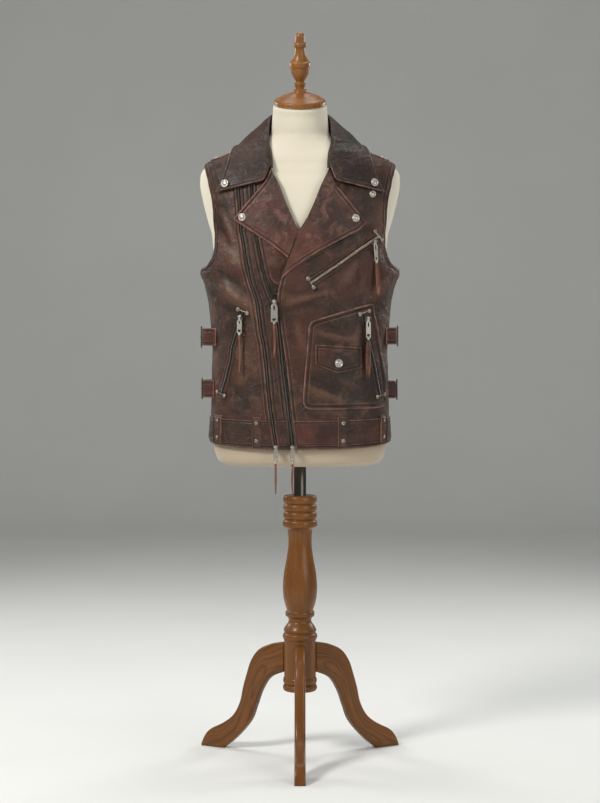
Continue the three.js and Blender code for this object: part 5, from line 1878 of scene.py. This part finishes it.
def teeth_along(parts, line, lift, reach, hands=(1, -1)):
    """Zip teeth: little wedges at equal distances along a line, from alternate sides of it."""
    count = int(steps_of(line).sum() / TOOTH_PITCH)
    centre = resample(line, count + 1)
    tangent = tangents(centre)
    aside = rightward(tangent)
    shape = np.array([(-0.1, -1), (1, -0.62), (1, 0.62), (-0.1, 1)])
    for hand_index, hand in enumerate(hands):
        at = centre[:-1] + tangent[:-1] * hand_index * TOOTH_PITCH / 2
        corners = []
        for top in (0, 1):
            for across, span in shape:
                offset = hand * (reach * across - (0.5 if len(hands) > 1 else 0))
                spot = at + aside[:-1] * offset + tangent[:-1] * span * 0.62
                spot = spot - 0.12 * top * hand * aside[:-1]
                corners.append(on_front(spot[:, 0], spot[:, 1], lift + top * TOOTH_HEIGHT))
        corners = np.stack(corners, axis=1)
        faces = [(0, 1, 2, 3), (7, 6, 5, 4), (0, 4, 5, 1), (1, 5, 6, 2), (2, 6, 7, 3), (3, 7, 4, 0)]
        for block in corners:
            parts.add(block, faces)


def front_ribbon(parts, line, profile, spacing=4.0):
    """A closed section of (across, lift) points swept along a line of (x, z) on the front."""
    count = max(4, int(steps_of(line).sum() / spacing))
    centre = resample(line, count)
    tangent = tangents(centre)
    aside = rightward(tangent)
    rings = []
    for across, lift in profile:
        spot = centre + aside * across
        rings.append(on_front(spot[:, 0], spot[:, 1], np.full(count, float(lift))))
    parts.add(*outward(*tube(np.stack(rings, axis=1))))


def roll_section(middle, width, low, high, count=8):
    """A half round section over a flat foot."""
    turn = np.linspace(0, np.pi, count)
    return [(middle + width / 2 * math.cos(a), low + (high - low) * math.sin(a)) for a in turn]


def line_between(shape, low, high, count=90):
    """Points of a line of x against z, between two heights."""
    z = np.linspace(low, high, count)
    return np.stack([shape(z), z], axis=1)


def add_slider(parts, x, z, base, depth=1.0):
    """A zip slider: two rounded plates, a bridge over them and two cheeks that hold the pull's barrel."""
    level, sideways = front_frame(x, z)[1:]
    foot = VEST.point(angle_at(x, z), z) + VEST.normal(angle_at(x, z), z) * base
    half, length, rise, lug = SLIDER["half"], SLIDER["length"], SLIDER["rise"], SLIDER["lug"]
    basis = (sideways, np.array([0, 0, 1.0]), level)
    shapes = [
        rounded_box((2 * half, length, 2.0), (0, 0, rise - 2), power=4),
        rounded_box((2 * half - 0.6, length - 2.5, 2.0), (0, -0.4, -0.4), power=4),
        rounded_box((3.4, 6.5, rise - 0.4), (0, 2.4, rise / 2 - 1), power=4),
        rounded_box((4.4, length - 4, depth + 1), (0, 0, (1 - depth) / 2), power=6),
    ]
    for hand in (-1, 1):
        tall = BARREL["off"] + 2.8
        middle = (hand * (BARREL["half"] + SEAM + 0.75), length / 2 - lug, rise - 2 + tall / 2)
        shapes.append(rounded_box((1.5, 5, tall), middle, power=4))
    for points, faces in shapes:
        parts.add(placed(points, foot, *basis), faces)


def rivet_shape(radius):
    """A rivet: a flat rim, a groove and a low dome."""
    r = radius
    return lathe([(0, -0.6), (r, -0.6), (r, 0.4), (0.93 * r, 1.1), (0.8 * r, 1.3), (0.7 * r, 0.95),
                  (0.62 * r, 1.1), (0.5 * r, 1.9), (0.3 * r, 2.4), (0, 2.6)], 20)


def snap_shape(radius):
    """A snap's cap: a rolled rim round a dished ring, with a plain dome in its middle."""
    r = radius
    return lathe([(0, -0.4), (0.9 * r, -0.4), (r, 0.5), (1.0 * r, 1.3), (0.96 * r, 2.0), (0.9 * r, 2.4),
                  (0.82 * r, 2.45), (0.76 * r, 2.0), (0.72 * r, 1.5), (0.66 * r, 1.4), (0.6 * r, 1.9),
                  (0.5 * r, 2.5), (0.36 * r, 2.95), (0.18 * r, 3.2), (0, 3.25)], 28)


def rivet_bar(parts, a, b, lift):
    """The bar at a zip's end, with a rivet on each end of it."""
    a, b = np.array(a, dtype=float), np.array(b, dtype=float)
    front_ribbon(parts, np.array([a + 0.12 * (a - b), b + 0.12 * (b - a)]),
                 roll_section(0, 3.0, lift - 0.4, lift + 1.2), spacing=2)
    for x, z in (a, b):
        RIVETS.append((on_front(x, z, lift + 1.2), VEST.normal(angle_at(x, z), z), 4.6))


def fit_zip(name, tapes, teeth, metals, node, look="dark_teeth"):
    """Makes the three pieces of a zip; its teeth stand for its solid."""
    fit(teeth.make(f"{name}_teeth", MATERIALS[look]), "figure", "zip", node)
    fit(metals.make(f"{name}_slider", MATERIALS["aged"]), "figure", "nickel")
    fit(tapes.make(f"{name}_tape", MATERIALS["tape"]), "figure", "zip")


# Line of each pocket zip, lift of its tape, its slider and end bars, distance of its rolls, lift under its
# slider, width and look of its teeth
POCKET_ZIPS = {
    "zip_chest": {
        "points": [(22, 1012), (85, 1055), (162, 1111)], "base": 2.3, "slider": (149, 1097),
        "bars": [((16.5, 1021), (28, 1003.5)), ((152, 1121), (164.5, 1103))],
        "welt": 7, "back": 3.3, "reach": 3.6, "look": "teeth",
    },
    "zip_hand_left": {
        "points": [(-116.5, 955), (-136, 895), (-144, 852), (-163, 784)], "base": 2.3,
        "slider": (-120.5, 941),
        "bars": [((-126, 959), (-107, 951)), ((-170, 787), (-155, 780))],
        "welt": 5.4, "back": 3.3, "reach": 1.8, "look": "dark_teeth",
    },
    "zip_hand_right": {
        "points": [(130, 952), (146, 870), (153, 835), (163.5, 780)], "base": 5.3, "slider": (134, 938),
        "bars": [((121, 949), (139, 956)), ((156, 778), (171, 782))],
        "welt": 5.4, "back": 6.2, "reach": 1.8, "look": "dark_teeth",
    },
}
TAPE_SECTION = [(-3.2, 0.2), (-3.2, 0.7), (-1, 0.9), (1, 0.9), (3.2, 0.7), (3.2, 0.2)]


def make_zips(settings):
    """Each zip is a tape, its teeth one by one, and its sliders. Pocket zips lie between two rolls."""
    outer = line_between(zip_outer, HEM_Z, ZIP_TOP - 2)
    tapes, teeth, metals = Parts(), Parts(), Parts()
    front_ribbon(tapes, outer, TAPE_SECTION)
    teeth_along(teeth, outer, 0.7, 2.0)
    add_slider(metals, float(zip_outer(HEM_Z + 3)), HEM_Z + 3, 4.4, 3)
    fit_zip("outer_zip", tapes, teeth, metals, "zip_outer")

    closed = line_between(main_zip, HEM_Z, SLIDER_Z - 1)
    opened = line_between(track, SLIDER_Z + 8, ZIP_TOP - 2)
    tapes, teeth, metals = Parts(), Parts(), Parts()
    front_ribbon(tapes, np.vstack([closed, opened]), TAPE_SECTION)
    teeth_along(teeth, closed, 0.7, 2.0)
    teeth_along(teeth, opened, 0.7, 2.0, hands=(1,))
    add_slider(metals, -52.0, SLIDER_Z, 3)
    add_slider(metals, float(main_zip(HEM_Z + 3)), HEM_Z + 3, 4.4, 3)
    fit_zip("main_zip", tapes, teeth, metals, "zip_main")

    for name, zip_row in POCKET_ZIPS.items():
        line = curve(zip_row["points"], 60)
        base = zip_row["base"]
        tapes, teeth, metals = Parts(), Parts(), Parts()
        front_ribbon(tapes, line, [(across * 1.25, base - 0.2 + lift) for across, lift in TAPE_SECTION])
        teeth_along(teeth, line, base + 0.6, zip_row["reach"])
        x, z = zip_row["slider"]
        add_slider(metals, x, z, zip_row["back"] + 1.6)
        for a, b in zip_row["bars"]:
            rivet_bar(metals, a, b, base + 1.6)
        fit_zip(name, tapes, teeth, metals, name, zip_row["look"])
        rolls = Parts()
        for hand in (-1, 1):
            section = roll_section(hand * zip_row["welt"], 4.4, base - 0.2, base + 1.7)
            front_ribbon(rolls, line, section, spacing=2)
        lips = fit(rolls.make(f"{name}_lips", MATERIALS["leather"], edge=np.full(rolls.count, 2.6)),
                   "figure", "leather")
        aside = rightward(tangents(line))
        for hand in (-1, 1):
            sew_front(line + aside * hand * (zip_row["welt"] + 4.2), base - 0.1)
    track_teeth()


def track_teeth():
    """The row of teeth under the turned-back right lapel's lower edge."""
    teeth = Parts()
    line = resample(np.array([(-30, 1036), (8, 1054.5), (44, 1074), (112, 1112)]), 80)
    teeth_along(teeth, line, 2.6, 2.6, hands=(-1,))
    fit(teeth.make("lapel_zip_teeth", MATERIALS["dark_teeth"]), "figure", "zip")


# Pulls: length and width of the plate, length of the strips, lean in degrees
PULLS = table("""
plate width strand lean
30 9.5 62 0
43 14 68 0
30 9.5 62 0
42 9 65 6
35 11 76 0
41 11.5 78 0
""")
PULL_NAMES = ("hem_left", "main", "hem_right", "chest", "hand_left", "hand_right")
STRANDS = {"chest": 2, "hand_right": 3}
BEAD = 2.9
STRIP_THICK = 0.85             # half the thickness of a strip


def pull_shapes(plate, width):
    """A pull's plate with two slots, the barrel that it turns on, and the bead under it with its collars."""
    narrow = BARREL["half"] - 0.4
    side = [(narrow, 1.4, 1), (narrow, -6, 1.6), (width / 2, -10, 2.2), (width / 2, -plate, 1.6)]
    outline = rounded([(-x, y, radius) for x, y, radius in side] + side[::-1], 4)
    low = rectangle(width * 0.27, 3 - plate, 8 - plate, 0.8, 4)
    tall = rectangle(1.5, -plate * 0.44, -9, 1.3, 4)
    shapes = [cut_plate(outline, [low, tall], 1.9, 0.5)]
    radius, half = BARREL["radius"], BARREL["half"]
    points, faces = lathe([(0, -half), (radius - 0.2, -half), (radius, 0.3 - half), (radius, half - 0.3),
                           (radius - 0.2, half), (0, half)], 18)
    shapes.append((points[:, [2, 0, 1]], faces))
    drop = -plate - BEAD + 0.8
    ball = [(0, -BEAD), (1.5, -BEAD), (1.7, -2.4), (2.3, -1.9), (2.95, -0.6), (2.95, 0.6), (2.3, 1.9),
            (1.5, 2.5), (1.2, 3.4), (0, 3.6)]
    points, faces = lathe(ball, 20)
    shapes.append((points[:, [0, 2, 1]] + np.array([0, drop, 0]), [tuple(reversed(face)) for face in faces]))
    return shapes


def thong_shapes(plate, length, count, seed):
    """Narrow leather strips under a wrapped head, each bent along its own curve and twisted a little."""
    top = -plate - 2 * BEAD + 0.5
    points, faces = lathe([(0, 0), (1.9, 0), (2.5, -0.6), (2.2, -1.2), (2.7, -1.8), (2.4, -2.4), (2.8, -3),
                           (2.4, -3.8), (1.6, -4.4), (0, -4.4)], 16)
    shapes = [outward(points[:, [0, 2, 1]] + np.array([0, top, 0]), faces)]
    for i in range(count):
        spread = (i - (count - 1) / 2) * 2.9
        sway = 1.6 * math.sin(2.1 * seed + 1.7 * i)
        path = curve([(spread * 0.3, top - 2, 0), (spread, top - 12, 0.2),
                      (spread + 0.8 * sway, top - length * 0.6, -0.3),
                      (spread - 0.5 * sway, top - length, 0)], 40)
        share = np.linspace(0, 1, 40)[:, None]
        twist = 0.5 * np.sin(3 * share + seed + i)
        outs = np.hstack([np.sin(twist), 0 * twist, np.cos(twist)])
        wide = (1.5 + 0.7 * np.sin(np.pi * share)) * (1 - 0.25 * share ** 6)
        section = np.array([(-1, -0.6), (-0.8, -1), (0.8, -1), (1, -0.6),
                            (1, 0.6), (0.8, 1), (-0.8, 1), (-1, 0.6)])
        tangent = tangents(path)
        across = unit(np.cross(tangent, outs))
        outs = np.cross(across, tangent)
        rings = (path[:, None] + across[:, None] * (section[None, :, :1] * wide[:, None])
                 + outs[:, None] * section[None, :, 1:] * STRIP_THICK)
        shapes.append(outward(*tube(rings)))
    return shapes


def make_pulls(settings):
    """Each pull hangs in the frame of its hinge, which the packed joints give."""
    joints = {joint["name"]: joint for joint in frame["joints"]}
    for i, (row, name) in enumerate(zip(rows_of(PULLS), PULL_NAMES)):
        joint = joints[f"pull_{name}_hinge"]
        at = np.array(joint["pos_m"]) / MM - np.array([0, AXIS_Y / MM, 0])
        sideways = -np.array(joint["axis"], dtype=float)
        lean = math.radians(row["lean"])
        level = np.cross(sideways, [0, 0, 1])
        up = math.cos(lean) * np.array([0, 0, 1]) - math.sin(lean) * level
        out = math.cos(lean) * level + math.sin(lean) * np.array([0, 0, 1])
        body = f"pull_{name}"
        metals = Parts()
        for points, faces in pull_shapes(row["plate"], row["width"]):
            metals.add(placed(points, at, sideways, up, out), faces)
        fit(metals.make(f"plate_{name}", MATERIALS["nickel"]), body, "nickel", f"pull_{name}")
        strips = Parts()
        for points, faces in thong_shapes(row["plate"], row["strand"], STRANDS.get(name, 1), i):
            strips.add(placed(points, at, sideways, up, out), faces)
        thong = strips.make(f"strips_{name}", MATERIALS["thong"], edge=np.full(strips.count, 3.2))
        fit(thong, body, "leather_red", f"thong_{name}")


def on_surface(shape, point, out):
    """A shape made along +Z, stood on a surface."""
    points, faces = shape
    aside = unit(np.cross([0, 0, 1.0], out) if abs(out[2]) < 0.99 else np.array([1.0, 0, 0]))
    return placed(points, point, aside, np.cross(out, aside), out), faces


def make_fasteners(settings):
    """Snaps and rivets stand on the leather where the pieces before them marked their places."""
    loose = Parts()
    for point, out, radius, node in SNAPS:
        cap = Parts() if node else loose
        cap.add(*on_surface(snap_shape(radius), point, out))
        if node:
            fit(cap.make(f"cap_{node}", MATERIALS["nickel"]), "figure", "nickel", node)
    fit(loose.make("snap_caps", MATERIALS["nickel"]), "figure", "nickel")
    studs = Parts()
    for point, out, radius in RIVETS:
        studs.add(*on_surface(rivet_shape(radius), point, out))
    fit(studs.make("rivets", MATERIALS["aged"]), "figure", "nickel")


STITCH_SHARE = 0.66            # length of a stitch over the pitch


def make_stitches(settings):
    """Each stitch is a small spindle laid along its row; rows follow the lines that the pieces marked."""
    pitch = settings.stitch_pitch / MM
    long = STITCH_SHARE * pitch
    ring = np.array([(0, 1), (1, 0), (0, -1), (-1, 0)])
    parts_points = []
    parts_faces = []
    count = 0
    for points, outs in STITCH_LINES:
        total = steps_of(points).sum()
        number = int(total / pitch)
        if number < 2:
            continue
        at = resample(points, number + 1)
        grown = travel(points)
        where = np.linspace(0, total, number + 1)
        out = unit(np.stack([np.interp(where, grown, outs[:, k]) for k in range(3)], axis=1))
        tangent = tangents(at)
        across = unit(np.cross(tangent, out))
        rings = []
        for share, fat in ((-0.5, 0.12), (-0.3, 0.42), (0.3, 0.42), (0.5, 0.12)):
            centre = at + tangent * share * long + out * (0.25 if abs(share) < 0.4 else -0.15)
            for a, b in ring:
                rings.append(centre + across * fat * a + out * fat * b)
        block = np.stack(rings, axis=1)
        base = grid_faces(4, 4, closed_columns=True)
        faces = base[None] + (np.arange(len(block)) * 16)[:, None, None] + count
        parts_points.append(block.reshape(-1, 3))
        parts_faces.append(faces.reshape(-1, 4))
        count += block.shape[0] * 16
    piece = add_mesh("stitches", np.vstack(parts_points), np.vstack(parts_faces), MATERIALS["thread"])
    fit(piece, "figure", "leather_red")


# Stage
# In metres, degrees and millimetres of lens
CAMERA = {"distance": 3.75, "height": 0.889, "pitch": 1.905, "lens": 78.86}
# Name, place, size, power and tint of each lamp
LIGHTS = (
    ("key", (-2.0, -2.0, 2.7), 0.9, 90, (1.0, 0.97, 0.93)),
    ("fill", (2.2, -2.4, 1.6), 2.2, 38, (1.0, 0.98, 0.95)),
    ("top", (0.1, 0.3, 3.1), 1.8, 26, (1.0, 1.0, 1.0)),
    ("rim_left", (-2.0, 1.6, 1.9), 1.0, 22, (1.0, 1.0, 1.0)),
    ("rim_right", (2.0, 1.7, 1.8), 1.0, 22, (1.0, 1.0, 1.0)),
)


def aim(thing, target):
    """Turns a thing's own -Z towards a target."""
    way = Vector(target) - thing.location
    thing.rotation_euler = way.to_track_quat("-Z", "Y").to_euler()


def make_stage(settings):
    """A pale floor that curves up into a wall behind, soft lights, and a camera at the photo's place."""
    scene = bpy.context.scene
    eye = bpy.data.cameras.new("camera")
    eye.sensor_fit = "VERTICAL"
    eye.sensor_height = 36
    eye.lens = CAMERA["lens"]
    camera = bpy.data.objects.new("camera", eye)
    camera.location = (0, AXIS_Y - CAMERA["distance"], CAMERA["height"])
    camera.rotation_euler = (math.radians(90 - CAMERA["pitch"]), 0, 0)
    scene.collection.objects.link(camera)
    scene.camera = camera

    turn = np.linspace(0, np.pi / 2, 24)
    profile = [(-30, 0), *[(4.6 + 1.6 * math.sin(a), 1.6 - 1.6 * math.cos(a)) for a in turn], (6.2, 9)]
    rows = np.array([[(x, y, z) for x in (-30, 30)] for y, z in profile]).reshape(-1, 3)
    points = rows / MM - np.array([0, AXIS_Y / MM, 0.4])
    floor = add_mesh("studio_floor", points, grid_faces(len(profile), 2), MATERIALS["floor"])

    for name, place, size, power, tint in LIGHTS:
        lamp = bpy.data.lights.new(name, "AREA")
        lamp.shape = "DISK"
        lamp.size = size
        lamp.energy = power * settings.light
        lamp.color = tint
        light = bpy.data.objects.new(name, lamp)
        light.location = place
        scene.collection.objects.link(light)
        aim(light, (0, AXIS_Y, 0.95))
    world = bpy.data.worlds.new("studio")
    world.use_nodes = True
    sky = world.node_tree.nodes["Background"]
    sky.inputs["Color"].default_value = (0.78, 0.8, 0.79, 1)
    sky.inputs["Strength"].default_value = settings.sky
    scene.world = world
    scene.view_settings.view_transform = "Standard"


# Add-on
def colour(name, description, default):
    return FloatVectorProperty(name=name, description=description, default=default, size=3, min=0, max=1,
                               subtype="COLOR")


class VestSettings(bpy.types.PropertyGroup):
    """Settings of the leather and its sewing, the form and the stand."""

    leather: colour("Leather", "Middle tone of the panels, collar and strips", (0.055, 0.026, 0.0155))
    lapel: colour("Lapels", "Middle tone of the rubbed lapels", (0.092, 0.043, 0.031))
    trim: colour("Trim", "Middle tone of the bindings, side straps and right belt", (0.058, 0.02, 0.013))
    form: colour("Form", "Jersey of the dress form", (0.66, 0.61, 0.5))
    oak: colour("Oak", "Middle tone of the column and the legs", (0.12, 0.043, 0.007))
    cap: colour("Cap", "Middle tone of the turned cap", (0.175, 0.068, 0.013))
    stitch_pitch: FloatProperty(name="Stitch pitch", description="Distance from one stitch to the next",
                                default=0.0042, min=0.002, max=0.01, unit="LENGTH", subtype="DISTANCE")


class StageSettings(bpy.types.PropertyGroup):
    """Settings of the studio."""

    light: FloatProperty(name="Lights", description="Share of each lamp's power", default=1.0, min=0)
    sky: FloatProperty(name="Sky", description="Strength of the even light all round", default=0.24, min=0)


class VEST_OT_stage(bpy.types.Operator):
    """Make the floor, the lights and the camera"""
    bl_idname = "vest.stage"
    bl_label = "Stage"

    def execute(self, context):
        make_stage(context.scene.vest_stage)
        return {"FINISHED"}


def maker(idname, label, text, build):
    """An operator that builds one group of pieces."""

    def execute(self, context):
        build(context.scene.vest)
        return {"FINISHED"}

    fields = {"bl_idname": f"vest.{idname}", "bl_label": label, "__doc__": text, "execute": execute}
    return type(f"VEST_OT_{idname}", (bpy.types.Operator,), fields)


MAKERS = (
    maker("materials", "Materials", "Make the leather, metal, cloth and wood", make_materials),
    maker("form", "Dress form", "Make the limbless dress form", make_form),
    maker("stand", "Stand", "Make the turned cap, column, legs and pole", make_stand),
    maker("panels", "Body panels", "Make the back, both fronts, the strip and the underlap", make_panels),
    maker("bindings", "Bindings", "Bind the armholes", make_bindings),
    maker("lapels", "Lapels", "Make both lapels", make_lapels),
    maker("collar", "Collar", "Make the collar", make_collar),
    maker("shoulder_straps", "Shoulder straps", "Lay the shoulder straps", make_shoulder_straps),
    maker("belt", "Belt", "Make the belt and its loops", make_belt),
    maker("side_straps", "Side straps", "Make the side straps and their buckles", make_side_straps),
    maker("pockets", "Pockets", "Make the patch pocket and its flap", make_pockets),
    maker("zips", "Zips", "Make the zips", make_zips),
    maker("pulls", "Zip pulls", "Hang the pulls and their strips", make_pulls),
    maker("fasteners", "Snaps and rivets", "Set the snaps and rivets", make_fasteners),
    maker("stitches", "Sewing", "Sew the marked rows", make_stitches),
)
ORDER = (*MAKERS, VEST_OT_stage)


class VEST_PT_panel(bpy.types.Panel):
    """Sidebar panel with a button for each group of pieces"""
    bl_idname = "VEST_PT_panel"
    bl_label = "Leather vest"
    bl_space_type = "VIEW_3D"
    bl_region_type = "UI"
    bl_category = "Vest"

    def draw(self, context):
        for name in VestSettings.__annotations__:
            self.layout.prop(context.scene.vest, name)
        for name in StageSettings.__annotations__:
            self.layout.prop(context.scene.vest_stage, name)
        for step in ORDER:
            self.layout.operator(step.bl_idname)


CLASSES = (VestSettings, StageSettings, *ORDER, VEST_PT_panel)


def register():
    for each in CLASSES:
        bpy.utils.register_class(each)
    bpy.types.Scene.vest = PointerProperty(type=VestSettings)
    bpy.types.Scene.vest_stage = PointerProperty(type=StageSettings)


def unregister():
    del bpy.types.Scene.vest_stage
    del bpy.types.Scene.vest
    for each in reversed(CLASSES):
        bpy.utils.unregister_class(each)


def main():
    register()
    for step in ORDER:
        group, name = step.bl_idname.split(".")
        getattr(getattr(bpy.ops, group), name)()


if __name__ == "__main__":
    main()
